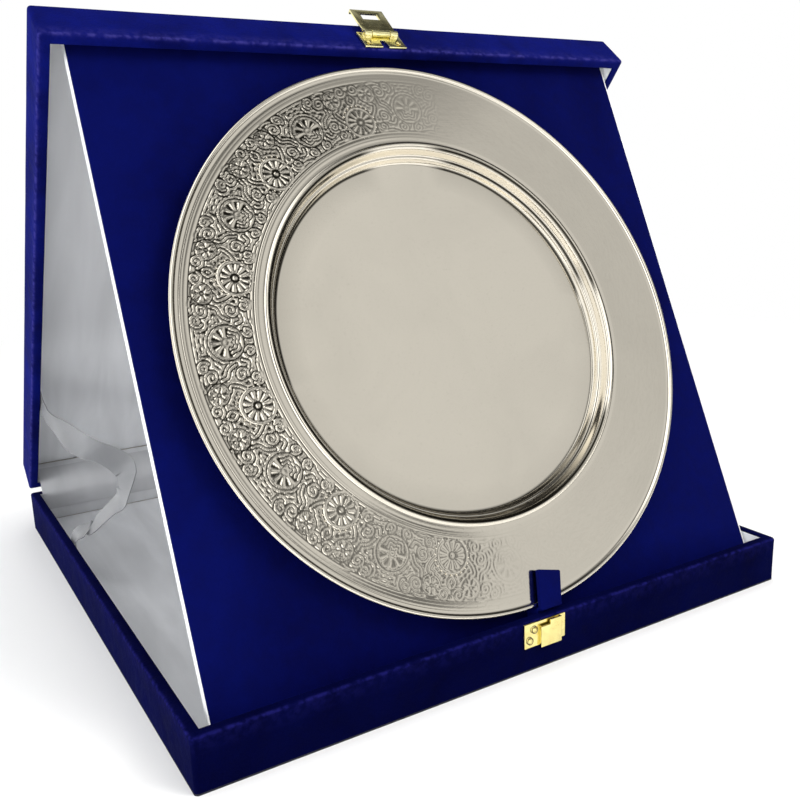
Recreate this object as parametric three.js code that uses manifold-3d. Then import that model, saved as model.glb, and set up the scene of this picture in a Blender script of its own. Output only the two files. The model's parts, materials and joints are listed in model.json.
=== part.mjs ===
// A round metal salver in its folding velvet display case, in millimetres, +Z up.
// Origin: the middle of the case's underside. +X is the viewer's right and -Y the front.
// The case stands open as an A-frame: the lid leans forward on a velvet panel that carries the salver.
import * as THREE from 'three';
import { mergeVertices } from 'three/addons/utils/BufferGeometryUtils.js';
import Module from 'manifold-3d';

const wasm = await Module();
wasm.setup();
const { Manifold, Mesh: SolidMesh } = wasm;

// Case, outside
const caseWidth = 296;
const baseHeight = 22;
const lidHeight = 19.7;
const cornerRadius = 1.6;

// Case, construction
const rimWidth = 4.8;
const skinThick = 0.7;
const boardThick = 3;
const undersideSheetThick = 0.7;
const floorLiningThick = 0.9;
const lidPadThick = 1.2;
// Pieces that touch inside a tilted group keep this seam
const seam = 0.3;

// Rear butt hinges
const hingeSetOut = 2.2;
const hingeLeafWidth = 20;
const hingeLeafHeight = 9;
const hingeLeafThick = 0.8;
const hingePinRadius = 0.94;
const hingeRunningClearance = 0.06;
const hingeInset = 56;

// The panel and the clasp sit a little right of the case's middle
const displayCentreX = 1.7;

// Front clasp
const claspWidth = 21.3;
const claspPlateThick = 0.8;
const catchPlateHeight = 10.6;
const catchHookWidth = 10.8;
const catchHookHeight = 11.2;
const catchHookInset = 3;
const catchHookReach = 1.6;
const haspPlateHeight = 11.5;
const haspArchWidth = 3.4;
const haspArchHeight = 5.6;
const haspKnuckleRadius = 1.5;
const haspPinRadius = 0.7;
const haspAxisAboveRim = 8.4;
const haspFlapWidth = 17;
const haspFlapLength = 17.5;
const haspSlotWidth = 9;
const haspSlotHeight = 4.6;
const haspRestAngle = THREE.MathUtils.degToRad(3);

// Nails
const nailHeadRadius = 1.3;
const nailHeadHeight = 0.6;
const nailShankRadius = 0.5;
const nailHoleClearance = 0.12;
const nailGrip = 1.6;

// Display panel
const panelSideGap = 4;
const panelThick = 3.2;
const panelSkinThick = 0.6;
const panelSetback = 3;
const panelTopRoom = 16;
const panelRearGap = 5.6;
const tapeThick = 0.3;
const tapeInset = 19.2;
const tapeFlap = 14;

// Keeper hook at the panel's foot
const hookWidth = 10.9;
const hookOffsetX = 6.35;
const hookLipThick = 2.8;
const hookOverlap = 13.6;
const hookBarDepth = 5.5;
const hookClearance = 0.4;
const hookLean = THREE.MathUtils.degToRad(14.5);

// Salver
const salverRadius = 123.5;
const salverSheet = 1.1;
const salverLowestPoint = 13.6;
// From the panel's middle, to the left
const salverOffsetX = -2;
const wellFloorRadius = 79.4;
const wellMouthRadius = 85.2;
const rimOuterHeight = 8;
const rimInnerHeight = 9;
const rimBeadRadius = 1;
const mouldingCrest = 0.5;

// Ribbon stays
const ribbonWidth = 12;
const ribbonThick = 0.6;
const ribbonBaseFromHinge = 98;
const ribbonLidFromHinge = 84;
const ribbonBaseTail = 14;
const ribbonLidTail = 11.7;
const ribbonSlackInward = 22;
const ribbonSlackForward = 64;

// The panel holds the salver, the base holds the folded panel, and the lid's corner holds the
// panel's top edge, which sets how far the lid is open
const panelFootRadius = panelThick / 2;
const panelWidth = caseWidth - 2 * (rimWidth + panelSideGap);
const panelLength = salverLowestPoint + 2 * salverRadius + panelTopRoom;
const caseDepth = 2 * (rimWidth + panelFootRadius) + panelSetback + panelLength + panelRearGap;
const floorLiningTop = undersideSheetThick + boardThick + floorLiningThick;
const tapeLength = panelWidth - 2 * tapeInset;
const hingeCentreX = caseWidth / 2 - hingeInset;

const frontY = -caseDepth / 2;
const rearY = caseDepth / 2;
const innerHalfWidth = caseWidth / 2 - rimWidth;
const hingeAxis = new THREE.Vector3(0, rearY + hingeSetOut, baseHeight);

const finish = (color, roughness, metalness) =>
  new THREE.MeshStandardMaterial({ color, roughness, metalness });
const velvet = finish(0x0a1260, 0.95, 0);
const satin = finish(0xd4d6da, 0.45, 0);
const board = finish(0xb08d5f, 0.8, 0);
const card = finish(0x8f8a80, 0.85, 0);
const paper = finish(0x1b1b22, 0.9, 0);
const brass = finish(0xd8bf5a, 0.3, 0.9);
const silver = finish(0xc8c3b6, 0.22, 1);

function addPiece(group, name, geometry, material) {
  const mesh = new THREE.Mesh(geometry, material);
  mesh.name = name;
  group.add(mesh);
  return mesh;
}

// Solids for cutting and joining

function toSolid(geometry) {
  const bare = new THREE.BufferGeometry();
  bare.setAttribute('position', geometry.getAttribute('position').clone());
  if (geometry.index) bare.setIndex(geometry.index.clone());
  const merged = mergeVertices(bare, 1e-5);
  return new Manifold(new SolidMesh({
    numProp: 3,
    vertProperties: new Float32Array(merged.getAttribute('position').array),
    triVerts: new Uint32Array(merged.index.array),
  }));
}

function toGeometry(solid) {
  const mesh = solid.getMesh();
  const geometry = new THREE.BufferGeometry();
  geometry.setAttribute('position', new THREE.BufferAttribute(mesh.vertProperties, 3));
  geometry.setIndex(new THREE.BufferAttribute(mesh.triVerts, 1));
  geometry.computeVertexNormals();
  return geometry;
}

function boxGeometry([x0, x1], [y0, y1], [z0, z1]) {
  const geometry = new THREE.BoxGeometry(x1 - x0, y1 - y0, z1 - z0);
  return geometry.translate((x0 + x1) / 2, (y0 + y1) / 2, (z0 + z1) / 2);
}

const boxSolid = (xs, ys, zs) => toSolid(boxGeometry(xs, ys, zs));

// A cylinder whose axis runs along X or Y
function rodSolid(axis, radius, from, to, [a, b], sides = 20) {
  const geometry = new THREE.CylinderGeometry(radius, radius, to - from, sides);
  if (axis === 'x') {
    geometry.rotateZ(Math.PI / 2);
    geometry.translate((from + to) / 2, a, b);
  } else {
    geometry.translate(a, (from + to) / 2, b);
  }
  return toSolid(geometry);
}

// An outline in Y and Z, pulled along X
function pullAlongX(outline, x0, x1) {
  const shape = new THREE.Shape(outline.map(([y, z]) => new THREE.Vector2(y, z)));
  const geometry = new THREE.ExtrudeGeometry(shape, { depth: x1 - x0, bevelEnabled: false });
  const turn = new THREE.Matrix4().makeBasis(
    new THREE.Vector3(0, 1, 0), new THREE.Vector3(0, 0, 1), new THREE.Vector3(1, 0, 0));
  return geometry.applyMatrix4(turn).translate(x0, 0, 0);
}

// A rectangle with round corners, seen from above, raised from z0 to z1
function roundedSlab([x0, x1], [y0, y1], radius, [z0, z1]) {
  const shape = new THREE.Shape();
  shape.moveTo(x0 + radius, y0);
  shape.lineTo(x1 - radius, y0);
  shape.absarc(x1 - radius, y0 + radius, radius, -Math.PI / 2, 0);
  shape.lineTo(x1, y1 - radius);
  shape.absarc(x1 - radius, y1 - radius, radius, 0, Math.PI / 2);
  shape.lineTo(x0 + radius, y1);
  shape.absarc(x0 + radius, y1 - radius, radius, Math.PI / 2, Math.PI);
  shape.lineTo(x0, y0 + radius);
  shape.absarc(x0 + radius, y0 + radius, radius, Math.PI, Math.PI * 1.5);
  const options = { depth: z1 - z0, bevelEnabled: false, curveSegments: 4 };
  return new THREE.ExtrudeGeometry(shape, options).translate(0, 0, z0);
}

// Nails: the point runs along -Y or +Y, and the head sits on the plate

function nailGeometry(length) {
  const dome = [];
  const domeSteps = 3;
  for (let i = 0; i <= domeSteps; i += 1) {
    const angle = (Math.PI / 2) * (i / domeSteps);
    dome.push(new THREE.Vector2(nailHeadRadius * Math.cos(angle), nailHeadHeight * Math.sin(angle)));
  }
  dome[domeSteps].x = 0;
  const profile = [
    new THREE.Vector2(0, -length),
    new THREE.Vector2(nailShankRadius, -length + nailShankRadius),
    new THREE.Vector2(nailShankRadius, 0),
    ...dome,
  ];
  return new THREE.LatheGeometry(profile, 12);
}

function addNail(group, name, plateFaceY, outward, gap, [x, z], length) {
  const geometry = nailGeometry(length + gap);
  if (outward < 0) geometry.rotateX(Math.PI);
  geometry.translate(x, plateFaceY + outward * gap, z);
  addPiece(group, name, geometry, brass);
}

function drill(solid, spots, y0, y1) {
  let result = solid;
  const radius = nailShankRadius + nailHoleClearance;
  for (const spot of spots) {
    result = result.subtract(rodSolid('y', radius, y0, y1, spot, 12));
  }
  return result;
}

// One tray of the case: the base as it stands, or the lid upside down over it

// The tray's outer velvet, wrapped over the rim, with the rim at `rim` and the boards towards `back`
function trayCover(ys, rim, back, backThick) {
  const xs = [-caseWidth / 2, caseWidth / 2];
  const up = Math.sign(back - rim);
  const inset = ([a, b], d) => [a + d, b - d];
  const span = (a, b) => (a < b ? [a, b] : [b, a]);
  const outer = toSolid(roundedSlab(xs, ys, cornerRadius, span(rim, back)));
  const boards = boxSolid(inset(xs, skinThick), inset(ys, skinThick),
    span(rim + up * skinThick, back - up * backThick));
  const mouth = boxSolid(inset(xs, rimWidth), inset(ys, rimWidth), span(rim - up, rim + up * 2 * skinThick));
  return outer.subtract(boards).subtract(mouth);
}

// Four wall boards, the satin inside them and the drilled spots of the front and rear walls
function addTrayWalls(group, prefix, ys, zs, gap, spots) {
  const [y0, y1] = ys;
  const thick = rimWidth - 2 * skinThick - 2 * gap;
  const outX = caseWidth / 2 - skinThick - gap;
  const outFront = y0 + skinThick + gap;
  const outRear = y1 - skinThick - gap;
  const front = boxSolid([-outX, outX], [outFront, outFront + thick], zs);
  const rear = boxSolid([-outX, outX], [outRear - thick, outRear], zs);
  const side = [outFront + thick + gap, outRear - thick - gap];
  addPiece(group, `${prefix}_front_wall`,
    toGeometry(drill(front, spots.front, y0 - 1, y0 + skinThick + gap + nailGrip + 0.4)), board);
  addPiece(group, `${prefix}_rear_wall`,
    toGeometry(drill(rear, spots.rear, y1 - skinThick - gap - nailGrip - 0.4, y1 + 1)), board);
  addPiece(group, `${prefix}_left_wall`, boxGeometry([-outX, -outX + thick], side, zs), board);
  addPiece(group, `${prefix}_right_wall`, boxGeometry([outX - thick, outX], side, zs), board);
}

function wallLining(ys, zs) {
  const outer = rimWidth - skinThick;
  const [y0, y1] = ys;
  const ring = boxSolid([-innerHalfWidth - skinThick, innerHalfWidth + skinThick],
    [y0 + outer, y1 - outer], zs);
  const room = boxSolid([-innerHalfWidth, innerHalfWidth], [y0 + rimWidth, y1 - rimWidth],
    [zs[0] - 1, zs[1] + 1]);
  return toGeometry(ring.subtract(room));
}

// Butt hinge leaf about its pin's axis at y = 0, z = 0. side is 1 for a leaf above the axis.
function hingeLeaf(side, knuckles, gap, nailSpots) {
  const knuckleRadius = hingeSetOut - seam;
  const plateStart = knuckleRadius + 0.4;
  const back = -hingeSetOut + gap;
  const ys = [back, back + hingeLeafThick];
  const half = hingeLeafWidth / 2;
  const zs = (from, to) => (side > 0 ? [from, to] : [-to, -from]);
  let leaf = boxSolid([-half, half], ys, zs(plateStart, plateStart + hingeLeafHeight));
  for (const [x0, x1] of knuckles) {
    leaf = leaf.add(rodSolid('x', knuckleRadius, x0, x1, [0, 0]));
    leaf = leaf.add(boxSolid([x0, x1], ys, zs(0, plateStart + 1)));
  }
  const bore = hingePinRadius + hingeRunningClearance;
  leaf = leaf.subtract(rodSolid('x', bore, -half - 1, half + 1, [0, 0]));
  return drill(leaf, nailSpots, back - 1, back + hingeLeafThick + 1);
}

const hingeKnuckleLength = (hingeLeafWidth - 2 * seam) / 3;
const outerKnuckles = [-1, 1].map((side) => {
  const far = side * hingeLeafWidth / 2;
  const near = far - side * hingeKnuckleLength;
  return side < 0 ? [far, near] : [near, far];
});
const middleKnuckle = [[-hingeKnuckleLength / 2, hingeKnuckleLength / 2]];
const hingeNailX = hingeLeafWidth * 0.3;
const hingeNailZ = hingeSetOut + hingeLeafHeight * 0.55;

function hingePin() {
  const end = hingeLeafWidth / 2 + seam;
  const head = hingePinRadius + 0.6;
  const headLength = 0.7;
  const profile = [
    [0, -end - headLength], [head * 0.8, -end - headLength], [head, -end - headLength * 0.6],
    [head, -end], [hingePinRadius, -end], [hingePinRadius, end], [head, end],
    [head, end + headLength * 0.6], [head * 0.8, end + headLength], [0, end + headLength],
  ].map(([r, y]) => new THREE.Vector2(r, y));
  return new THREE.LatheGeometry(profile, 20).rotateZ(Math.PI / 2);
}

const hingeSpots = (side, centreX) => [-1, 1].map((s) => [centreX + s * hingeNailX, side * hingeNailZ]);
const bothHinges = [['left', -hingeCentreX], ['right', hingeCentreX]];

// Base tray

function buildBase() {
  const group = new THREE.Group();
  const ys = [frontY, rearY];
  const floorBottom = undersideSheetThick;
  const floorTop = floorBottom + boardThick;
  const wallTop = baseHeight - skinThick;
  const outX = caseWidth / 2 - skinThick;
  const catchSpots = catchNailSpots();
  const rearSpots = bothHinges.flatMap(([, x]) => hingeSpots(-1, x))
    .map(([x, z]) => [x, z + hingeAxis.z]);

  addPiece(group, 'base_underside_sheet',
    roundedSlab([-caseWidth / 2, caseWidth / 2], ys, cornerRadius, [0, undersideSheetThick]), paper);
  addPiece(group, 'base_floor_board',
    boxGeometry([-outX, outX], [frontY + skinThick, rearY - skinThick], [floorBottom, floorTop]), board);
  addTrayWalls(group, 'base', ys, [floorTop, wallTop], 0, { front: catchSpots, rear: rearSpots });

  let cover = trayCover(ys, baseHeight, undersideSheetThick, -1);
  cover = drill(cover, catchSpots, frontY - 1, frontY + rimWidth);
  cover = drill(cover, rearSpots, rearY - rimWidth, rearY + 1);
  addPiece(group, 'base_velvet_cover', toGeometry(cover), velvet);

  const liningTop = floorTop + floorLiningThick;
  const outerLining = innerHalfWidth + skinThick;
  addPiece(group, 'base_floor_lining', boxGeometry([-outerLining, outerLining],
    [frontY + rimWidth - skinThick, rearY - rimWidth + skinThick], [floorTop, liningTop]), satin);
  addPiece(group, 'base_wall_lining', wallLining(ys, [liningTop, wallTop]), satin);
  return group;
}

// Catch on the base's front wall

const claspLeft = displayCentreX - claspWidth / 2;
const claspRight = displayCentreX + claspWidth / 2;
const catchTop = baseHeight - 0.4;

function catchNailSpots() {
  const z = catchTop - catchPlateHeight / 2;
  const lift = catchPlateHeight * 0.21;
  const room = claspWidth - catchHookWidth - catchHookInset;
  return [[claspLeft + room * 0.35, z - lift], [claspLeft + room * 0.66, z + lift]];
}

function addCatch(group) {
  const front = frontY - claspPlateThick;
  const plateBottom = catchTop - catchPlateHeight;
  const spots = catchNailSpots();
  const plate = boxSolid([claspLeft, claspRight], [front, frontY], [plateBottom, catchTop]);
  addPiece(group, 'catch_plate', toGeometry(drill(plate, spots, front - 1, frontY + 1)), brass);

  // The hook is a bent strip with an open top, and its notch takes the flap's bar
  const hookBottom = catchTop - catchHookHeight;
  const hookRight = claspRight - catchHookInset;
  const xs = [hookRight - catchHookWidth, hookRight];
  const face = front - catchHookReach;
  let hook = boxSolid(xs, [face, front], [hookBottom, catchTop]);
  hook = hook.subtract(boxSolid([xs[0] + claspPlateThick, xs[1] - claspPlateThick],
    [face + claspPlateThick, front + 1], [hookBottom + claspPlateThick, catchTop + 1]));
  hook = hook.subtract(boxSolid([xs[0] - 1, xs[0] + catchHookWidth * 0.45], [face - 1, front + 1],
    [catchTop - 2, catchTop + 1]));
  addPiece(group, 'catch_hook', toGeometry(hook), brass);
  spots.forEach((spot, i) => {
    const length = claspPlateThick + skinThick + nailGrip;
    addNail(group, `catch_nail_${i + 1}`, front, -1, 0, spot, length);
  });
}

// Lid, drawn closed with its rim at z = 0 and its hinge axis as origin, then turned open

const lidRearY = -hingeSetOut;
const lidFrontY = lidRearY - caseDepth;
const lidBoardBottom = lidHeight - skinThick - seam - boardThick;
const lidPadBottom = lidBoardBottom - seam - lidPadThick;

function haspNailSpots() {
  const z = haspPlateHeight * 0.27;
  return [-1, 1].map((side) => [displayCentreX + side * claspWidth * 0.36, z]);
}

function buildLid() {
  const group = new THREE.Group();
  const ys = [lidFrontY, lidRearY];
  const haspSpots = haspNailSpots();
  const rearSpots = bothHinges.flatMap(([, x]) => hingeSpots(1, x));
  const outX = caseWidth / 2 - skinThick - seam;

  addPiece(group, 'lid_board', boxGeometry([-outX, outX],
    [lidFrontY + skinThick + seam, lidRearY - skinThick - seam],
    [lidBoardBottom, lidBoardBottom + boardThick]), board);
  addTrayWalls(group, 'lid', ys, [skinThick + seam, lidBoardBottom - seam], seam,
    { front: haspSpots, rear: rearSpots });

  let cover = trayCover(ys, 0, lidHeight, skinThick);
  cover = drill(cover, haspSpots, lidFrontY - 1, lidFrontY + rimWidth);
  cover = drill(cover, rearSpots, lidRearY - rimWidth, lidRearY + 1);
  addPiece(group, 'lid_velvet_cover', toGeometry(cover), velvet);

  addPiece(group, 'lid_wall_lining', wallLining(ys, [skinThick + seam, lidPadBottom - seam]), satin);
  const padX = innerHalfWidth + skinThick;
  addPiece(group, 'lid_lining_pad', boxGeometry([-padX, padX],
    [lidFrontY + rimWidth - skinThick, lidRearY - rimWidth + skinThick],
    [lidPadBottom, lidPadBottom + lidPadThick]), satin);

  for (const [side, x] of bothHinges) {
    const spots = hingeSpots(1, 0);
    const leaf = toGeometry(hingeLeaf(1, middleKnuckle, seam, spots)).translate(x, 0, 0);
    addPiece(group, `hinge_${side}_lid_leaf`, leaf, brass);
    const face = -hingeSetOut + seam + hingeLeafThick;
    const length = hingeLeafThick + skinThick + 2 * seam + nailGrip;
    hingeSpots(1, x).forEach((spot, i) => {
      addNail(group, `hinge_${side}_lid_nail_${i + 1}`, face, 1, seam, spot, length);
    });
  }
  addHasp(group);
  return group;
}

// Hasp on the lid's front wall

const haspPlateFace = lidFrontY - seam - claspPlateThick;
const haspAxisY = haspPlateFace - haspKnuckleRadius;
const haspEarLength = 3.6;
const haspPinHalf = haspFlapWidth / 2;

function addHasp(lid) {
  const half = claspWidth / 2;
  const archTop = haspArchHeight - haspArchWidth / 2;
  const ys = [haspPlateFace, haspPlateFace + claspPlateThick];
  let plate = boxSolid([displayCentreX - half, displayCentreX + half], ys, [0.4, haspPlateHeight]);
  plate = plate.subtract(boxSolid(
    [displayCentreX - haspArchWidth / 2, displayCentreX + haspArchWidth / 2],
    [ys[0] - 1, ys[1] + 1], [-1, archTop]));
  plate = plate.subtract(rodSolid('y', haspArchWidth / 2, ys[0] - 1, ys[1] + 1,
    [displayCentreX, archTop], 16));
  const bore = haspPinRadius + hingeRunningClearance;
  for (const side of [-1, 1]) {
    const far = displayCentreX + side * haspPinHalf;
    const near = far - side * haspEarLength;
    const xs = [Math.min(far, near), Math.max(far, near)];
    const centre = [haspAxisY, haspAxisAboveRim];
    plate = plate.add(rodSolid('x', haspKnuckleRadius, ...xs, centre));
    plate = plate.add(boxSolid(xs, [haspAxisY, ys[0] + 0.2],
      [haspAxisAboveRim - haspKnuckleRadius, haspAxisAboveRim + haspKnuckleRadius]));
    plate = plate.subtract(rodSolid('x', bore, xs[0] - 1, xs[1] + 1, centre));
  }
  const spots = haspNailSpots();
  plate = drill(plate, spots, ys[0] - 1, ys[1] + 1);
  addPiece(lid, 'hasp_plate', toGeometry(plate), brass);
  const length = claspPlateThick + skinThick + 2 * seam + nailGrip;
  spots.forEach((spot, i) => {
    addNail(lid, `hasp_nail_${i + 1}`, haspPlateFace, -1, seam, spot, length);
  });

  const pin = new THREE.CylinderGeometry(haspPinRadius, haspPinRadius, 2 * haspPinHalf, 16);
  pin.rotateZ(Math.PI / 2).translate(displayCentreX, haspAxisY, haspAxisAboveRim);
  addPiece(lid, 'hasp_pin', pin, brass);

  const flap = new THREE.Group();
  flap.position.set(displayCentreX, haspAxisY, haspAxisAboveRim);
  flap.rotation.x = haspRestAngle;
  addPiece(flap, 'hasp_flap', toGeometry(haspFlap(bore)), brass);
  lid.add(flap);
}

// The flap points up from its pin, with a bar across its free end and a slot behind the bar
function haspFlap(bore) {
  const half = haspFlapWidth / 2;
  const ys = [-claspPlateThick / 2, claspPlateThick / 2];
  const start = haspKnuckleRadius + seam;
  const knuckleHalf = half - haspEarLength - seam;
  let flap = boxSolid([-half, half], ys, [start, haspFlapLength]);
  flap = flap.add(rodSolid('x', haspKnuckleRadius, -knuckleHalf, knuckleHalf, [0, 0]));
  flap = flap.add(boxSolid([-knuckleHalf, knuckleHalf], ys, [0, start + 1]));
  flap = flap.subtract(rodSolid('x', bore, -half - 1, half + 1, [0, 0]));
  const slotTop = haspFlapLength - 2.6;
  flap = flap.subtract(boxSolid([-haspSlotWidth / 2, haspSlotWidth / 2], [-2, 2],
    [slotTop - haspSlotHeight, slotTop]));
  // The free end turns out from the closed case, to lift it by
  return flap.add(boxSolid([-half, half], [-claspPlateThick / 2, claspPlateThick * 2],
    [haspFlapLength - claspPlateThick, haspFlapLength]));
}

// Panel, drawn upright about its foot's axis: z runs up the panel and -y is its velvet face

const panelPivot = new THREE.Vector3(
  displayCentreX, frontY + rimWidth + panelSetback + panelFootRadius,
  floorLiningTop + 2 * tapeThick + seam + panelFootRadius);
const lidCornerClearance = seam + panelFootRadius;
const panelTopInLid = new THREE.Vector3(
  0, lidFrontY + rimWidth + lidCornerClearance, lidPadBottom - lidCornerClearance);
const toFoot = new THREE.Vector2(hingeAxis.y - panelPivot.y, panelPivot.z - hingeAxis.z);
const toTop = new THREE.Vector2(-panelTopInLid.y, panelTopInLid.z);
const spread = Math.acos((toFoot.lengthSq() + toTop.lengthSq() - panelLength ** 2)
  / (2 * toFoot.length() * toTop.length()));
const lidOpenAngle = spread + Math.atan2(toFoot.y, toFoot.x) - Math.atan2(toTop.y, toTop.x);
const panelTop = panelTopInLid.clone()
  .applyAxisAngle(new THREE.Vector3(1, 0, 0), -lidOpenAngle).add(hingeAxis);
const panelAngle = Math.atan2(panelTop.z - panelPivot.z, panelTop.y - panelPivot.y);

// A strip outline with round ends, in Y and Z, from the foot's axis to the top's
function roundEnded(radius, length) {
  const outline = [];
  const steps = 6;
  for (let i = 0; i <= steps; i += 1) {
    const angle = Math.PI * (i / steps);
    outline.push([radius * Math.cos(angle), length + radius * Math.sin(angle)]);
  }
  for (let i = 0; i <= steps; i += 1) {
    const angle = Math.PI * (1 + i / steps);
    outline.push([radius * Math.cos(angle), radius * Math.sin(angle)]);
  }
  return outline;
}

function buildPanel() {
  const group = new THREE.Group();
  const half = panelWidth / 2;
  const r = panelFootRadius;
  const coreY = r - panelSkinThick - seam;
  const coreX = half - panelSkinThick - seam;
  addPiece(group, 'panel_board', boxGeometry([-coreX, coreX], [-coreY, coreY],
    [0, panelLength]), card);

  // Velvet on the face, turned round the foot and the top edge onto the back
  const turn = 3 * r;
  const strip = pullAlongX(roundEnded(r, panelLength), -coreX - seam, coreX + seam);
  const core = boxSolid([-half, half], [-r + panelSkinThick, r - panelSkinThick],
    [-seam, panelLength + seam]);
  const backRoom = boxSolid([-half, half], [0, r + 1], [turn, panelLength - turn]);
  addPiece(group, 'panel_velvet_face',
    toGeometry(toSolid(strip).subtract(core).subtract(backRoom)), velvet);

  // Satin on the back, folded round both side edges
  const backZ = [turn + seam, panelLength - turn - seam];
  const back = boxSolid([-half, half], [r - panelSkinThick, r], backZ);
  let satinBack = back;
  for (const side of [-1, 1]) {
    const xs = side < 0 ? [-half, -half + panelSkinThick] : [half - panelSkinThick, half];
    satinBack = satinBack.add(boxSolid(xs, [-r, r], [0, panelLength]));
  }
  addPiece(group, 'panel_satin_back', toGeometry(satinBack), satin);

  addPiece(group, 'keeper_hook', keeperHook(), velvet);
  addPiece(salverGroup(group), 'salver', salverGeometry(), silver);
  return group;
}

function salverGroup(panel) {
  const group = new THREE.Group();
  group.position.set(salverOffsetX, -panelFootRadius, salverLowestPoint + salverRadius);
  panel.add(group);
  return group;
}

// A velvet hook: its bar passes under the salver's lowest edge and its lip stands in front of the rim
function keeperHook() {
  const face = -panelFootRadius;
  const barTop = salverLowestPoint - hookClearance;
  const lipRear = face - rimOuterHeight - rimBeadRadius - hookClearance;
  const lipFront = lipRear - hookLipThick;
  const lipTop = salverLowestPoint + hookOverlap;
  // Height along the panel at which a point clears the base's front wall
  const toPanel = (y, z) => {
    const dy = y - panelPivot.y;
    const dz = z - panelPivot.z;
    return {
      y: dy * Math.sin(panelAngle) - dz * Math.cos(panelAngle),
      z: dy * Math.cos(panelAngle) + dz * Math.sin(panelAngle),
    };
  };
  const rimEdge = toPanel(frontY + rimWidth + hookClearance, baseHeight + hookClearance);
  const wallFoot = toPanel(frontY + rimWidth + hookClearance, baseHeight - hookBarDepth);
  const outline = [
    [face - seam, barTop], [face - seam, wallFoot.z], [wallFoot.y, wallFoot.z],
    [rimEdge.y, rimEdge.z], [lipFront, rimEdge.z], [lipFront, lipTop - 1],
    [lipFront + 1, lipTop], [lipRear, lipTop], [lipRear, barTop],
  ];
  const half = hookWidth / 2;
  const geometry = pullAlongX(outline, -half, half);
  // The lip leans to the right, and its top is cut square to the lean
  const position = geometry.getAttribute('position');
  const lean = Math.tan(hookLean);
  for (let i = 0; i < position.count; i += 1) {
    const above = Math.max(position.getZ(i) - barTop, 0);
    const share = above / (lipTop - barTop);
    const x = position.getX(i);
    position.setZ(i, position.getZ(i) - lean * x * share);
    position.setX(i, hookOffsetX + x + lean * above);
  }
  geometry.computeVertexNormals();
  return geometry;
}

// Salver, turned about its own axis: radius and height above the panel's face

function salverGeometry() {
  const underside = seam;
  const floorTop = underside + salverSheet;
  const rimTop = (r) => rimInnerHeight
    + (rimOuterHeight - rimInnerHeight) * ((r - wellMouthRadius) / (salverRadius - wellMouthRadius));
  const wellDepth = rimInnerHeight - floorTop;
  const wallRun = wellMouthRadius - wellFloorRadius;
  // The moulding from floor to rim, as shares of the wall's run and of the well's depth
  const moulding = [
    [0, 0], [0.1, 0.03], [0.2, 0.12], [0.28, 0.3], [0.36, 0.4], [0.46, 0.42], [0.54, 0.5],
    [0.62, 0.68], [0.7, 0.86], [0.78, 0.97],
  ].map(([a, b]) => [wellFloorRadius + a * wallRun, floorTop + b * wellDepth]);
  const crest = [
    [0.88, 0.75], [1, 1], [1.12, 0.8], [1.26, 0.2], [1.4, 0],
  ].map(([a, b]) => {
    const r = wellFloorRadius + a * wallRun;
    return [r, Math.min(rimTop(r), rimInnerHeight) + b * mouldingCrest];
  });
  const beadCentre = salverRadius - rimBeadRadius;
  const rimEnd = beadCentre - rimBeadRadius;
  const bead = [];
  const beadSteps = 8;
  for (let i = 0; i <= beadSteps; i += 1) {
    const angle = Math.PI * (0.75 - 1.5 * (i / beadSteps));
    bead.push([beadCentre + rimBeadRadius * Math.cos(angle),
      rimOuterHeight + rimBeadRadius * Math.sin(angle)]);
  }
  const top = [[0, floorTop], [wellFloorRadius * 0.5, floorTop], ...moulding, ...crest,
    [(wellMouthRadius + rimEnd) / 2, rimTop((wellMouthRadius + rimEnd) / 2)],
    [rimEnd - 0.6, rimTop(rimEnd)]];
  const below = [
    [rimEnd - 0.6, rimTop(rimEnd) - salverSheet],
    [wellMouthRadius + 3, rimTop(wellMouthRadius) - salverSheet],
    [wellMouthRadius + salverSheet * 0.6, rimInnerHeight - salverSheet * 0.9],
    [wellFloorRadius + wallRun * 0.75 + salverSheet, floorTop + wellDepth * 0.55],
    [wellFloorRadius + wallRun * 0.38 + salverSheet, floorTop + wellDepth * 0.2],
    [wellFloorRadius + wallRun * 0.2 + salverSheet, underside + salverSheet * 0.3],
    [wellFloorRadius, underside], [0, underside],
  ];
  const profile = [...top, ...bead, ...below].map(([r, h]) => new THREE.Vector2(r, h)).reverse();
  return new THREE.LatheGeometry(profile, 80).rotateX(Math.PI);
}

// Soft pieces

// A flat strip along a path, its width along `across` at each point
function stripGeometry(points, width, thick) {
  const path = new THREE.CatmullRomCurve3(points.map((p) => p.at), false, 'centripetal');
  const steps = 60;
  const positions = [];
  for (let i = 0; i <= steps; i += 1) {
    const t = i / steps;
    const at = path.getPoint(t);
    const along = path.getTangent(t);
    const k = Math.min(Math.floor(t * (points.length - 1)), points.length - 2);
    const blend = t * (points.length - 1) - k;
    const across = points[k].across.clone().lerp(points[k + 1].across, blend);
    across.addScaledVector(along, -across.dot(along)).normalize();
    const out = new THREE.Vector3().crossVectors(along, across);
    for (const [a, b] of [[-1, -1], [1, -1], [1, 1], [-1, 1]]) {
      const corner = at.clone().addScaledVector(across, a * width / 2).addScaledVector(out, b * thick / 2);
      positions.push(corner.x, corner.y, corner.z);
    }
  }
  const last = steps * 4;
  const index = [0, 2, 1, 0, 3, 2, last, last + 1, last + 2, last, last + 2, last + 3];
  for (let i = 0; i < steps; i += 1) {
    for (let k = 0; k < 4; k += 1) {
      const a = i * 4 + k;
      const b = i * 4 + (k + 1) % 4;
      index.push(a, b, a + 4, b, b + 4, a + 4);
    }
  }
  const geometry = new THREE.BufferGeometry();
  geometry.setAttribute('position', new THREE.Float32BufferAttribute(positions, 3));
  geometry.setIndex(index);
  geometry.computeVertexNormals();
  return geometry;
}

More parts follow.
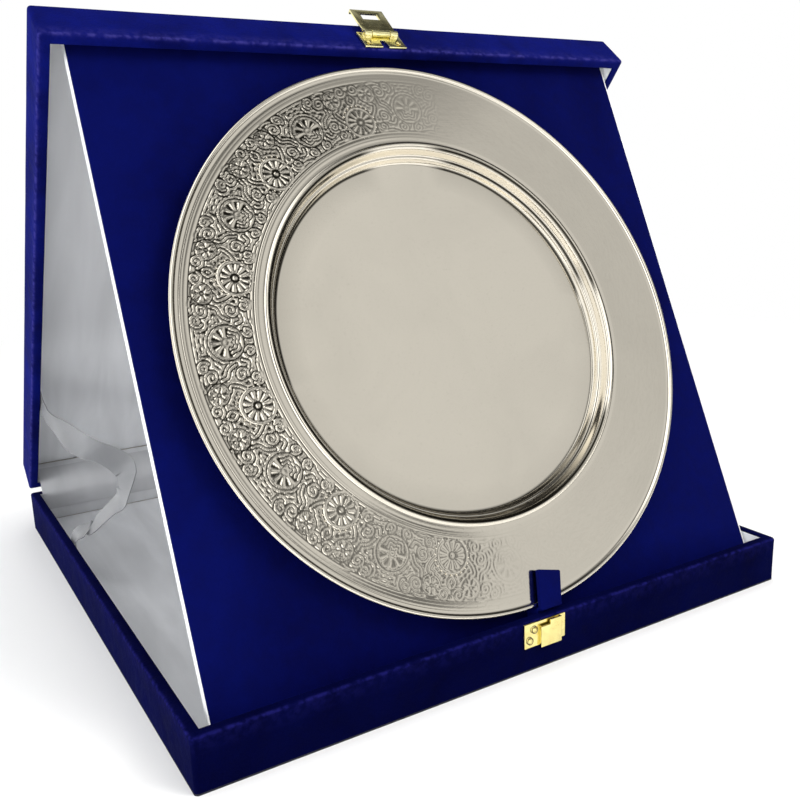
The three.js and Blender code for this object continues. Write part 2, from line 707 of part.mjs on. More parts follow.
// A ribbon from the base's side wall, out into the case in a slack bow, to the lid's side wall
function ribbonStay(side) {
  const wallX = side * (innerHalfWidth - seam - ribbonThick / 2);
  const baseY = hingeAxis.y - ribbonBaseFromHinge;
  const inLid = (v) => new THREE.Vector3(0, -ribbonLidFromHinge, v)
    .applyAxisAngle(new THREE.Vector3(1, 0, 0), -lidOpenAngle).add(hingeAxis);
  const lidEdge = inLid(2);
  const lidEnd = inLid(Math.min(ribbonLidTail, lidPadBottom - seam));
  const bow = lidEdge.clone().sub(new THREE.Vector3(0, baseY, baseHeight));
  const backwards = new THREE.Vector3(0, 1, 0);
  const alongLid = new THREE.Vector3(0, Math.cos(lidOpenAngle), -Math.sin(lidOpenAngle));
  // Shares of the way up, of the slack in from the wall, of the slack forward, and of the turn
  // from flat on the wall to level across the case
  const slack = [
    [0.05, 0.06, 0.08, 0], [0.12, 0.27, 0.23, 0.3], [0.17, 0.41, 0.33, 0.5],
    [0.39, 0.73, 0.78, 0.9], [0.5, 0.86, 0.97, 1], [0.6, 1, 1, 1], [0.67, 1, 0.98, 1],
    [0.69, 0.86, 0.72, 1], [0.69, 0.64, 0.46, 0.9], [0.72, 0.45, 0.31, 0.7],
    [0.77, 0.27, 0.01, 0.2], [0.86, 0.09, -0.05, 0], [0.94, 0.02, -0.02, 0],
  ];
  const inTheCase = new THREE.Vector3(side, 0, 0);
  const points = [
    { at: new THREE.Vector3(wallX, baseY, baseHeight - ribbonBaseTail), across: backwards },
    { at: new THREE.Vector3(wallX, baseY, baseHeight - ribbonWidth / 4), across: backwards },
    ...slack.map(([share, inward, forward, turn]) => ({
      at: new THREE.Vector3(wallX - side * inward * ribbonSlackInward,
        baseY + bow.y * share - forward * ribbonSlackForward, baseHeight + bow.z * share),
      across: backwards.clone().lerp(alongLid, share).lerp(inTheCase, turn).normalize(),
    })),
    { at: new THREE.Vector3(wallX, lidEdge.y, lidEdge.z), across: alongLid },
    { at: new THREE.Vector3(wallX, lidEnd.y, lidEnd.z), across: alongLid },
  ];
  return stripGeometry(points, ribbonWidth, ribbonThick);
}

// Cloth tape that hinges the panel's foot: one flap on the floor lining, one up the panel's back
function hingeTape() {
  const floor = floorLiningTop + seam;
  const back = panelFootRadius + seam;
  const up = new THREE.Vector2(Math.cos(panelAngle), Math.sin(panelAngle));
  const behind = new THREE.Vector2(Math.sin(panelAngle), -Math.cos(panelAngle));
  const onBack = (z, off) => [
    panelPivot.y + up.x * z + behind.x * off, panelPivot.z + up.y * z + behind.y * off];
  const meet = (off) => {
    const level = floor + off - back;
    const z = (level + back - panelPivot.z - behind.y * (back + off)) / up.y;
    return onBack(z, back + off);
  };
  const [innerY, innerZ] = meet(tapeThick);
  const [outerY] = meet(0);
  const outline = [
    [innerY, innerZ], [innerY + tapeFlap, floor + tapeThick], [innerY + tapeFlap, floor],
    [outerY, floor], onBack(tapeFlap, back), onBack(tapeFlap, back + tapeThick),
  ];
  return pullAlongX(outline.reverse(), displayCentreX - tapeLength / 2,
    displayCentreX + tapeLength / 2);
}

// The whole object

const salverCase = new THREE.Group();
const base = buildBase();
addCatch(base);
for (const [side, x] of bothHinges) {
  const leaf = toGeometry(hingeLeaf(-1, outerKnuckles, 0, hingeSpots(-1, 0)));
  addPiece(base, `hinge_${side}_base_leaf`, leaf.translate(x, hingeAxis.y, hingeAxis.z), brass);
  addPiece(base, `hinge_${side}_pin`, hingePin().translate(x, hingeAxis.y, hingeAxis.z), brass);
  const length = hingeLeafThick + skinThick + nailGrip;
  hingeSpots(-1, x).forEach(([nailX, nailZ], i) => {
    const spot = [nailX, nailZ + hingeAxis.z];
    addNail(base, `hinge_${side}_base_nail_${i + 1}`, rearY + hingeLeafThick, 1, 0, spot, length);
  });
}
addPiece(base, 'ribbon_stay_left', ribbonStay(-1), satin);
addPiece(base, 'ribbon_stay_right', ribbonStay(1), satin);
addPiece(base, 'panel_hinge_tape', hingeTape(), velvet);
salverCase.add(base);

const lid = buildLid();
lid.position.copy(hingeAxis);
lid.rotation.x = -lidOpenAngle;
salverCase.add(lid);

const panel = buildPanel();
panel.position.copy(panelPivot);
panel.rotation.x = panelAngle - Math.PI / 2;
salverCase.add(panel);

export default salverCase;
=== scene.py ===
"""A round chased salver standing in its open velvet display case.

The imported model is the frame. Lengths in this file are millimetres in each group's own drawing
frame, and a piece goes to metres and to its place when its mesh is made.
"""
import json
import math

import bmesh
import bpy
import numpy as np
from bpy.props import FloatProperty, FloatVectorProperty, IntProperty, PointerProperty
from mathutils import Matrix, Vector

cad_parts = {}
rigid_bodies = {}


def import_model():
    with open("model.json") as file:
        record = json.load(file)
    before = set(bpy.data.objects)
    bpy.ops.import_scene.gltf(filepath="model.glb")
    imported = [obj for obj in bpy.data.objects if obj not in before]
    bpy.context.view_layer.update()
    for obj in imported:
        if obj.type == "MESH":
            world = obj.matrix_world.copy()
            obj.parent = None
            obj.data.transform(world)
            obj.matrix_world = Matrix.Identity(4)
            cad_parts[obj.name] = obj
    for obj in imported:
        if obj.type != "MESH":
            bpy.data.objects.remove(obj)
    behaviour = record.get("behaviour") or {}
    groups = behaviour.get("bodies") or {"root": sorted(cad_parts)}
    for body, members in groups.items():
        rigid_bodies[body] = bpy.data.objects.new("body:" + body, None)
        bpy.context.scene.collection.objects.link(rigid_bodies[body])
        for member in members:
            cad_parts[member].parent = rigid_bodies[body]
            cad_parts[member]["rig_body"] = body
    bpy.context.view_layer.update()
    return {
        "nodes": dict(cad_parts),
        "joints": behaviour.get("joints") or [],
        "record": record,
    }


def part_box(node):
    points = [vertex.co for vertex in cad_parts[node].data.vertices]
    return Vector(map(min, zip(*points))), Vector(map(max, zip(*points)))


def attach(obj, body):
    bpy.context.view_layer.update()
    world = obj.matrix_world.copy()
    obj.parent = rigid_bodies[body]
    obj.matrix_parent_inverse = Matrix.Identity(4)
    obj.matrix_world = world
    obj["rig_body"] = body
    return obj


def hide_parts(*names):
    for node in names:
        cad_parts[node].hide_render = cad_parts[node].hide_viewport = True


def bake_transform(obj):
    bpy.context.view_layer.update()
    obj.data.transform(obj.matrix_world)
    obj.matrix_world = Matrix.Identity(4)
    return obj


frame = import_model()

bl_info = {
    "name": "Salver display case",
    "version": (1, 0, 0),
    "blender": (4, 5, 0),
    "location": "3D View > Sidebar > Salver",
    "description": "Builds a chased salver and its folding velvet display case",
    "category": "Add Mesh",
}

MM = 0.001

# Photograph's camera, in case widths from the middle of the case's front edge
CASE_WIDTH = 296.0
CASE_DEPTH = 298.0
CAMERA_EYE = (-0.7427, -0.8905, 0.6705)
CAMERA_TARGET = (0.0229, 0.4, 0.3051)
CAMERA_ROLL = -0.03307
CAMERA_FOCAL_PIXELS = 906.6
PHOTO_PIXELS = 800
SENSOR_MM = 36.0

# Case
BASE_HEIGHT = 22.0
LID_HEIGHT = 19.7
RIM_WIDTH = 4.8
SKIN = 0.7
VELVET_UNEVEN = 0.05
HINGE_SET_OUT = 2.2
LID_MIDDLE = -HINGE_SET_OUT - CASE_DEPTH / 2
HASP_AXIS_ABOVE_RIM = 8.4

# Panel
PANEL_HALF_WIDTH = 139.2
PANEL_HALF_THICK = 1.6
PANEL_SKIN = 0.6
PANEL_LENGTH = 276.6

# Salver
SALVER_RADIUS = 123.5
ROSETTE_RADIUS_ON_RIM = 98.4
ROSETTE_START = math.radians(12.0)


def joint(name):
    return next(j for j in frame["joints"] if j["name"] == name)


HINGE = Vector(joint("lid_open")["pos_m"])
FOOT = Vector(joint("panel_fold")["pos_m"])
HASP_PIN = Vector(joint("hasp_swing")["pos_m"])
DISH_CENTRE = Vector(joint("salver_turn")["pos_m"])
DISH_AXIS = Vector(joint("salver_turn")["axis"]).normalized()

PANEL_RISE = math.atan2(-DISH_AXIS.y, DISH_AXIS.z)
HASP_ARM = HASP_PIN - HINGE
LID_OPEN = (math.atan2(HASP_ARM.z, -HASP_ARM.y)
            - math.asin(HASP_AXIS_ABOVE_RIM * MM / math.hypot(HASP_ARM.y, HASP_ARM.z)))

IN_BASE = Matrix.Identity(4)
IN_LID = Matrix.Translation(HINGE) @ Matrix.Rotation(-LID_OPEN, 4, "X")
ON_PANEL = Matrix.Translation(FOOT) @ Matrix.Rotation(PANEL_RISE - math.pi / 2, 4, "X")
ON_DISH = Matrix.Translation(DISH_CENTRE) @ Matrix.Rotation(PANEL_RISE, 4, "X")


# Sizes and colours that a user may change

def size(name, description, default, low, high):
    return FloatProperty(name=name, description=description, default=default, min=low, max=high)


def colour(name, description, default):
    return FloatVectorProperty(name=name, description=description, subtype="COLOR", size=4,
                               default=(*default, 1.0), min=0.0, max=1.0)


class SalverSettings(bpy.types.PropertyGroup):
    relief: size("Relief", "Height of the chased ornament in millimetres", 0.2, 0.0, 0.5)
    rosettes: IntProperty(
        name="Rosettes", description="Rosettes round the rim", default=12, min=6, max=24)
    petals: IntProperty(
        name="Petals", description="Petals of each rosette", default=12, min=5, max=20)
    bead: size("Bead", "Radius of the punched beads in millimetres", 0.42, 0.1, 1.0)
    metal: colour("Metal", "Colour of the polished plate", (0.80, 0.748, 0.64))
    # Colour of real tarnish in the ornament's hollows, and of the painted dark reflections on the
    # rim and the moulding.
    recess_and_reflection: colour("Recess and painted reflection", "Colour of the dull ground between the ornament",
                   (0.02, 0.018, 0.012))


class CaseSettings(bpy.types.PropertyGroup):
    velvet_deep: colour("Velvet shade", "Velvet where its pile lies away from the light",
                        (0.0008, 0.0012, 0.030))
    velvet_lit: colour("Velvet light", "Velvet where its pile catches the light",
                       (0.0016, 0.0034, 0.070))
    satin: colour("Satin", "Colour of the lining", (0.84, 0.85, 0.87))
    brass: colour("Brass", "Colour of the catch and the hinges", (0.90, 0.79, 0.33))
    edge: size("Edge radius", "Rounding of the velvet's edges in millimetres", 1.3, 0.2, 2.2)
    fold: size("Satin folds", "Height of the satin's folds in millimetres", 0.5, 0.0, 1.5)


# Meshes

def in_scene(name, data):
    item = bpy.data.objects.new(name, data)
    bpy.context.scene.collection.objects.link(item)
    return item


def new_piece(name, points_mm, faces, place, material, sharp=40.0):
    """A mesh object at the origin, with its place in its mesh."""
    mesh = bpy.data.meshes.new(name)
    points = np.asarray(points_mm, float) * MM
    turned = points @ np.array(place.to_3x3()).T + np.array(place.translation)
    mesh.from_pydata(turned.tolist(), [], faces)
    bm = bmesh.new()
    bm.from_mesh(mesh)
    bmesh.ops.recalc_face_normals(bm, faces=bm.faces)
    bm.to_mesh(mesh)
    bm.free()
    finish_mesh(mesh, material, sharp)
    return in_scene(name, mesh)


def finish_mesh(mesh, material, sharp):
    mesh.shade_smooth()
    mesh.set_sharp_from_angle(angle=math.radians(sharp))
    mesh.materials.clear()
    mesh.materials.append(material)


def settle(piece, body, slot, *nodes):
    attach(piece, body)
    if nodes:
        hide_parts(*nodes)
    return piece


RIPPLES = 9


def ripple(x, y, wavelength, seed):
    """Smooth unevenness from -1 to 1, the same at each run."""
    draw = np.random.default_rng(seed)
    total = np.zeros(np.shape(x))
    for _ in range(RIPPLES):
        heading = draw.uniform(0, 2 * math.pi)
        length = wavelength * draw.uniform(0.6, 1.8)
        turn = 2 * math.pi / length
        total = total + np.sin(turn * (x * math.cos(heading) + y * math.sin(heading))
                               + draw.uniform(0, 2 * math.pi))
    return total / RIPPLES * 1.6


SIDE_STEPS, CORNER_STEPS = 36, 7


def rounded_loop(half_x, half_y, centre_y, radius):
    """A rectangle with round corners, counted the same at any size."""
    radius = max(min(radius, half_x, half_y), 0.05)
    points = []
    for sx, sy, start in ((1, -1, -90), (1, 1, 0), (-1, 1, 90), (-1, -1, 180)):
        cx, cy = sx * (half_x - radius), sy * (half_y - radius)
        corner = arc(cx, cy, radius, start, start + 90, CORNER_STEPS)
        if points:
            points += between(points[-1], corner[0])
        points += corner
    points += between(points[-1], points[0])
    return np.array(points) + (0.0, centre_y)


def between(start, end):
    """Points that part a straight line evenly, without its ends."""
    return [tuple(a + (b - a) * i / SIDE_STEPS for a, b in zip(start, end))
            for i in range(1, SIDE_STEPS)]


def loft(rings, closed_section=False):
    """Faces between rings of equal count; the section closes on itself or gets two caps."""
    count, total = len(rings[0]), len(rings[0]) * len(rings)
    faces = []
    for a in range(0, total if closed_section else total - count, count):
        b = (a + count) % total
        faces += [(a + i, a + (i + 1) % count, b + (i + 1) % count, b + i) for i in range(count)]
    if not closed_section:
        faces += [tuple(range(count))[::-1], tuple(range(total - count, total))]
    return np.concatenate(rings), faces


def arc(cx, cy, radius, start, end, steps=5):
    """Points on an arc, in degrees."""
    turns = [math.radians(start + (end - start) * i / steps) for i in range(steps + 1)]
    return [(cx + radius * math.cos(t), cy + radius * math.sin(t)) for t in turns]


def tray_rings(section, centre_y, corner, push):
    """Rings of a tray from (inset, height) pairs, pushed outward by push."""
    rings = []
    for inset, height in section:
        loop = rounded_loop(CASE_WIDTH / 2 - inset, CASE_DEPTH / 2 - inset, centre_y,
                            corner(inset))
        away = loop - (0.0, centre_y)
        away /= np.linalg.norm(away, axis=1)[:, None]
        loop = loop + away * push(loop[:, :1], loop[:, 1:], inset, height)
        rings.append(np.column_stack([loop, np.full(len(loop), height)]))
    return rings


def velvet_rings(section, centre_y, seed):
    """Rings of a velvet cover, slightly uneven outside the rim's inner edge."""
    def push(x, y, inset, height):
        uneven = VELVET_UNEVEN if inset < RIM_WIDTH else 0.0
        return uneven * (ripple(x + 1.7 * height, y - height, 34.0, seed) - 1)

    return tray_rings(section, centre_y, lambda inset: 1.6 - inset, push)


def sheet_solid(sections):
    """A bent sheet from sections that each hold one side's points and then the other's."""
    step = len(sections[0])
    count = step // 2
    loop = list(range(count)) + list(range(step - 1, count - 1, -1))
    last = (len(sections) - 1) * step
    faces = [(a + p, a + q, a + step + q, a + step + p)
             for a in range(0, last, step) for p, q in zip(loop, loop[1:] + loop[:1])]
    faces += [(a + i, a + count + i, a + count + i + 1, a + i + 1)
              for a in (0, last) for i in range(count - 1)]
    return np.concatenate(sections), faces


def along_path(spots, factor):
    """A smooth path through spots, its heading at each point, and its length."""
    path = [Vector(p) for p in bent(spots, factor)]
    ahead, behind = path[1:] + path[-1:], path[:1] + path[:-1]
    headings = [(a - b).normalized() for a, b in zip(ahead, behind)]
    return path, headings, sum((b - a).length for a, b in zip(path[:-1], path[1:]))


SHARP_EDGE = 35.0


def softened(node, material, radius):
    """A brass CAD node's form with its edges rounded, which replaces the node."""
    mesh = frame["nodes"][node].data.copy()
    bm = bmesh.new()
    bm.from_mesh(mesh)
    bmesh.ops.remove_doubles(bm, verts=bm.verts, dist=0.00001)
    bmesh.ops.dissolve_limit(bm, angle_limit=math.radians(2), verts=bm.verts, edges=bm.edges)
    edges = [e for e in bm.edges if len(e.link_faces) == 2
             and e.calc_face_angle(0) > math.radians(SHARP_EDGE)]
    bmesh.ops.bevel(bm, geom=edges, offset=radius * MM, segments=2, profile=0.5,
                    affect="EDGES", clamp_overlap=True)
    bmesh.ops.triangulate(bm, faces=[f for f in bm.faces if len(f.verts) > 4])
    bm.to_mesh(mesh)
    bm.free()
    mesh.name = f"{node}_dressed"
    finish_mesh(mesh, material, SHARP_EDGE)
    body = frame["nodes"][node]["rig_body"]
    return settle(in_scene(mesh.name, mesh), body, "brass", node)


# Shader nodes

def put(tree, kind, inputs=None, **settings):
    node = tree.nodes.new(kind)
    for key, value in settings.items():
        setattr(node, key, value)
    for key, value in (inputs or {}).items():
        if isinstance(value, bpy.types.NodeSocket):
            tree.links.new(value, node.inputs[key])
        else:
            node.inputs[key].default_value = value
    return node


def math_node(tree, operation, a, b=0.0, clamp=False):
    return put(tree, "ShaderNodeMath", {0: a, 1: b}, operation=operation,
               use_clamp=clamp).outputs[0]


def add(tree, a, b, clamp=False):
    return math_node(tree, "ADD", a, b, clamp)


def times(tree, a, b, clamp=False):
    return math_node(tree, "MULTIPLY", a, b, clamp)


def mixed(tree, share, a, b, **settings):
    return put(tree, "ShaderNodeMix", {0: share, 6: a, 7: b}, data_type="RGBA",
               **settings).outputs[2]


def spread(tree, value, low, high, to_low=0.0, to_high=1.0):
    return put(tree, "ShaderNodeMapRange", {
        "Value": value, "From Min": low, "From Max": high, "To Min": to_low,
        "To Max": to_high}).outputs["Result"]


def cloud(tree, coordinates, scale, detail=3.0, distortion=0.0):
    return put(tree, "ShaderNodeTexNoise", {
        "Vector": coordinates, "Scale": scale, "Detail": detail, "Distortion": distortion,
    }).outputs["Fac"]


def stretched(tree, coordinates, scale):
    return put(tree, "ShaderNodeMapping", {"Vector": coordinates, "Scale": scale}).outputs[0]


def dot(tree, a, b):
    return put(tree, "ShaderNodeVectorMath", {0: a, 1: b},
               operation="DOT_PRODUCT").outputs["Value"]


def blank(owner):
    """The emptied node tree of a new material or world."""
    owner.use_nodes = True
    owner.node_tree.nodes.clear()
    return owner.node_tree


FLOAT, COLOUR, VECTOR = "NodeSocketFloat", "NodeSocketColor", "NodeSocketVector"


def new_pattern(name, **inputs):
    """A shader group with named inputs, which gives a colour, a height and a roughness."""
    tree = bpy.data.node_groups.new(name, "ShaderNodeTree")
    tree.interface.new_socket("Coordinates", in_out="INPUT", socket_type=VECTOR)
    for title, default in inputs.items():
        kind = COLOUR if isinstance(default, tuple) else FLOAT
        tree.interface.new_socket(title.replace("_", " "), in_out="INPUT",
                                  socket_type=kind).default_value = default
    for title, kind in (("Color", COLOUR), ("Height", FLOAT), ("Roughness", FLOAT)):
        tree.interface.new_socket(title, in_out="OUTPUT", socket_type=kind)
    given = tree.nodes.new("NodeGroupInput").outputs
    return tree, given, given["Coordinates"]


def give(tree, colour, height, roughness):
    put(tree, "NodeGroupOutput", {"Color": colour, "Height": height, "Roughness": roughness})
    return tree


def pile_group():
    """Velvet: broad crushed patches, small mottling and the pile itself."""
    tree, given, at = new_pattern("Velvet pile", Deep=(0, 0, 0.1, 1), Lit=(0, 0, 0.2, 1),
                                  Patch=22.0, Pile=1500.0)
    broad = spread(tree, cloud(tree, at, given["Patch"], 2.0, 0.8), 0.35, 0.68)
    mottle = spread(tree, cloud(tree, at, 160.0, 3.0, 0.3), 0.3, 0.7)
    pile = cloud(tree, at, given["Pile"], 1.0)
    share = add(tree, times(tree, broad, 0.55), times(tree, mottle, 0.25))
    share = add(tree, share, times(tree, pile, 0.2), clamp=True)
    return give(tree, mixed(tree, share, given["Deep"], given["Lit"]),
                add(tree, times(tree, pile, 0.7), times(tree, mottle, 0.5)),
                spread(tree, mottle, 0, 1, 0.78, 0.95))


def weave_group():
    """Satin: long soft streaks along the cloth and a fine thread across it."""
    tree, given, at = new_pattern("Satin weave", Cloth=(0.6, 0.6, 0.65, 1), Shade=0.72,
                                  Thread=2600.0)
    streak = cloud(tree, stretched(tree, at, (60.0, 9.0, 9.0)), 1.0, 3.0, 0.5)
    streak = spread(tree, streak, 0.3, 0.7)
    thread = put(tree, "ShaderNodeTexWave", {
        "Vector": at, "Scale": given["Thread"], "Distortion": 1.2, "Detail": 1.0,
    }, wave_type="BANDS", bands_direction="X").outputs["Fac"]
    level = spread(tree, streak, 0, 1, given["Shade"], 1.0)
    grey = put(tree, "ShaderNodeCombineColor", {0: level, 1: level, 2: level}).outputs[0]
    return give(tree, mixed(tree, 1.0, given["Cloth"], grey, blend_type="MULTIPLY"),
                add(tree, times(tree, thread, 0.3), streak),
                spread(tree, streak, 0, 1, 0.42, 0.3))


def handled_group():
    """Metal that hands have touched: faint smears, hairlines and small pits."""
    tree, given, at = new_pattern("Handled metal", Clean=(0.8, 0.8, 0.8, 1),
                                  Dull=(0.5, 0.5, 0.45, 1), Smear=30.0, Low_roughness=0.1,
                                  High_roughness=0.25)
    smear = spread(tree, cloud(tree, at, given["Smear"], 4.0, 0.7), 0.35, 0.75)
    hair = cloud(tree, stretched(tree, at, (90.0, 1400.0, 1400.0)), 1.0, 2.0)
    hair = spread(tree, hair, 0.45, 0.8)
    pits = spread(tree, cloud(tree, at, 900.0, 1.0), 0.62, 0.75)
    wear_and_highlight = add(tree, times(tree, smear, 0.25), times(tree, pits, 0.15), clamp=True)
    rough = add(tree, times(tree, smear, 0.7), times(tree, hair, 0.3))
    return give(tree, mixed(tree, wear_and_highlight, given["Clean"], given["Dull"]), add(tree, hair, pits),
                spread(tree, rough, 0, 1, given["Low roughness"], given["High roughness"]))


def fibre_group():
    """Pressed board and card: short fibres and darker flecks."""
    tree, given, at = new_pattern("Pressed fibre", Ground=(0.3, 0.2, 0.12, 1),
                                  Fleck=(0.15, 0.1, 0.06, 1), Grain=260.0)
    fibre = cloud(tree, stretched(tree, at, (1.0, 3.0, 5.0)), given["Grain"], 4.0, 1.2)
    flecks = spread(tree, fibre, 0.5, 0.72)
    return give(tree, mixed(tree, flecks, given["Ground"], given["Fleck"]), fibre,
                spread(tree, fibre, 0, 1, 0.8, 0.95))


def surface(name, group, values, bump, constants, change=None):
    """A material: one pattern group into a Principled shader with plain constants."""
    material = bpy.data.materials.new(name)
    tree = blank(material)
    at = put(tree, "ShaderNodeTexCoord").outputs["Object"]
    made = put(tree, "ShaderNodeGroup", {"Coordinates": at, **values}, node_tree=group).outputs
    normal = put(tree, "ShaderNodeBump", {
        "Height": made["Height"], "Strength": bump[0], "Distance": bump[1]})
    colour, rough = made["Color"], made["Roughness"]
    if change:
        colour, rough = change(tree, at, colour, rough)
    shader = put(tree, "ShaderNodeBsdfPrincipled", {
        "Base Color": colour, "Roughness": rough, "Normal": normal.outputs[0], **constants})
    put(tree, "ShaderNodeOutputMaterial", {"Surface": shader.outputs[0]})
    return material


def where(attribute, shade, patchy=False, rougher=0.0):
    """A change of colour and roughness by the value of a mesh's attribute."""
    def change(tree, at, colour, rough):
        share = put(tree, "ShaderNodeAttribute", attribute_name=attribute).outputs["Fac"]
        if rougher:
            rough = add(tree, rough, times(tree, share, rougher))
        if patchy:
            patches = spread(tree, cloud(tree, at, 420.0), 0.4, 0.62, 0.15, 1.0)
            share = times(tree, share, patches, clamp=True)
        return mixed(tree, share, colour, tuple(shade)), rough
    return change


def mark(piece, name, values):
    """A value at each point of a piece, for its material to read."""
    attribute = piece.data.attributes.new(name, "FLOAT", "POINT")
    attribute.data.foreach_set("value", np.array(values, np.float32))


MATERIALS = {}
# Painted light and shade: the base's velvet is a copy darkened as painted shade, the lid's a copy
# lightened as painted light.
BASE_VELVET_PAINTED_SHADE = 0.42
LID_VELVET_PAINTED_LIGHT = 1.7


def make_materials():
    case, dish = bpy.context.scene.case_settings, bpy.context.scene.salver_settings
    pile, weave, handled, fibre = pile_group(), weave_group(), handled_group(), fibre_group()
    deep, lit = tuple(case.velvet_deep), tuple(case.velvet_lit)
    # Painted shade for the base and painted light for the lid, on copies of the same velvet.
    painted_shade_colours = [tuple(BASE_VELVET_PAINTED_SHADE * c for c in colour[:3]) + (1,) for colour in (deep, lit)]
    painted_light_lit = tuple(min(LID_VELVET_PAINTED_LIGHT * c, 1) for c in lit)
    nap = {"Sheen Weight": 0.12, "Sheen Roughness": 0.35, "Sheen Tint": (0.03, 0.05, 0.6, 1),
           "Specular IOR Level": 0.03}
    low_nap = {**nap, "Sheen Weight": 0.08, "Specular IOR Level": 0.015}
    gloss = {"Sheen Weight": 0.2, "Sheen Roughness": 0.3, "Specular IOR Level": 0.5}

    def velvet(deep, lit, patch=26.0, pile=1300.0):
        return {"Deep": deep, "Lit": lit, "Patch": patch, "Pile": pile}

    def metal(clean, dull_and_shade, smear, low, high):
        return {"Clean": clean, "Dull": (*dull_and_shade, 1), "Smear": smear, "Low roughness": low,
                "High roughness": high}

    def fibres(ground, fleck, grain):
        return {"Ground": (*ground, 1), "Fleck": (*fleck, 1), "Grain": grain}

    table = {
        # The mark along the rounded rim edge lightens the velvet: rubbed pile and a painted
        # highlight.
        "velvet_base": ("Base velvet in painted shade", pile, velvet(*painted_shade_colours), (0.45, 0.0006), low_nap,
                        where("wear_and_highlight", (0.008, 0.008, 0.09, 1), patchy=True)),
        "velvet_lid": ("Lid velvet in painted light", pile, velvet(deep, painted_light_lit), (0.45, 0.0006), nap,
                       where("wear_and_highlight", (0.03, 0.028, 0.17, 1), patchy=True)),
        "velvet_panel": ("Panel velvet", pile, velvet(deep, lit, 12.0, 1500.0),
                         (0.3, 0.0004), nap),
        "satin": ("Lining satin", weave, {"Cloth": tuple(case.satin), "Shade": 0.8},
                  # Where the mark darkens the satin toward grey, that is painted shade: far from
                  # the hinge on the lid's pad, at the rear walls and on the hinge strip.
                  (0.25, 0.0008), gloss, where("dull_and_shade", (0.12, 0.12, 0.13, 1))),
        # The ribbons' dark grey colour is painted shade.
        "ribbon": ("Ribbon satin in painted shade", weave, {"Cloth": (0.2, 0.205, 0.215, 1), "Shade": 0.7},
                   (0.2, 0.0004), gloss),
        "brass": ("Bright brass", handled,
                  metal(tuple(case.brass), (0.55, 0.36, 0.08), 240.0, 0.16, 0.34),
                  (0.06, 0.0001), {"Metallic": 1.0}),
        "hasp_brass": ("Bright hasp brass", handled,
                       metal((1.0, 0.94, 0.5, 1), (0.75, 0.55, 0.18), 240.0, 0.2, 0.36),
                       (0.06, 0.0001), {"Metallic": 1.0}),
        "tarnish": ("Tarnished brass", handled,
                    metal((0.06, 0.035, 0.015, 1), (0.02, 0.012, 0.008), 300.0, 0.4, 0.7),
                    (0.1, 0.0001), {"Metallic": 0.3}),
        # Its ground mark holds real tarnish in the hollows and painted dark reflections.
        "silver": ("Polished plate", handled,
                   metal(tuple(dish.metal), (0.62, 0.58, 0.5), 24.0, 0.07, 0.13),
                   (0.02, 0.0002), {"Metallic": 1.0},
                   where("ground", dish.recess_and_reflection, rougher=0.16)),
        "board": ("Fibreboard", fibre, fibres((0.30, 0.20, 0.11), (0.16, 0.10, 0.05), 260.0),
                  (0.4, 0.0003), {}),
        "card": ("Greyboard", fibre, fibres((0.24, 0.22, 0.19), (0.12, 0.11, 0.1), 420.0),
                 (0.3, 0.0002), {}),
        "underside": ("Underside cloth", fibre,
                      fibres((0.012, 0.012, 0.02), (0.03, 0.03, 0.04), 700.0),
                      (0.3, 0.0002), {}),
    }
    for key, values in table.items():
        MATERIALS[key] = surface(*values)


# Chased ornament of the rim
def distance_to(path, u, v):
    """Distance from each point to a broken line."""
    best = np.full(u.shape, 1e9)
    for (ax, ay), (bx, by) in zip(path[:-1], path[1:]):
        dx, dy = bx - ax, by - ay
        share = np.clip(((u - ax) * dx + (v - ay) * dy) / (dx * dx + dy * dy + 1e-12), 0, 1)
        best = np.minimum(best, np.hypot(u - ax - share * dx, v - ay - share * dy))
    return best


def ridge(distance, width):
    return np.exp(-(distance / width) ** 2)


def spiral(cx, cy, radius, turns, start, hand=1):
    steps = int(16 * turns) + 2
    k = np.linspace(0, 1, steps)
    angle = start + hand * 2 * math.pi * turns * k
    r = radius * (1 - 0.82 * k)
    return np.column_stack([cx + r * np.cos(angle), cy + r * np.sin(angle)])


def bent(points, factor=6):
    """More points on a smooth line through the given ones."""
    p = np.asarray(points, float)
    grown = np.vstack([2 * p[0] - p[1], p, 2 * p[-1] - p[-2]])
    out = []
    for i in range(1, len(grown) - 2):
        a, b, c, d = grown[i - 1:i + 3]
        for t in np.linspace(0, 1, factor + 1)[:-1]:
            out.append(0.5 * (2 * b + (c - a) * t + (2 * a - 5 * b + 4 * c - d) * t * t
                              + (3 * b - a - 3 * c + d) * t ** 3))
    out.append(p[-1])
    return out

def smooth(low, high, value):
    k = np.clip((value - low) / (high - low), 0, 1)
    return k * k * (3 - 2 * k)


def flower(u, v, radius, petals):
    """Height from -1 to 1 of petals round a boss, inside a ring."""
    k, psi = np.hypot(u, v) / radius, np.arctan2(v, u)
    reach = smooth(0.26, 0.36, k) * smooth(0.93, 0.84, k)
    petal = np.cos(petals * psi) * smooth(0.2, 0.5, k) + 0.25
    height = petal * reach - 0.9 * (1 - reach)
    height = np.maximum(height, 1.9 * ridge(k, 0.13) - 0.9)
    return np.maximum(height, 1.9 * ridge(k - 1.0, 0.07) - 0.9)


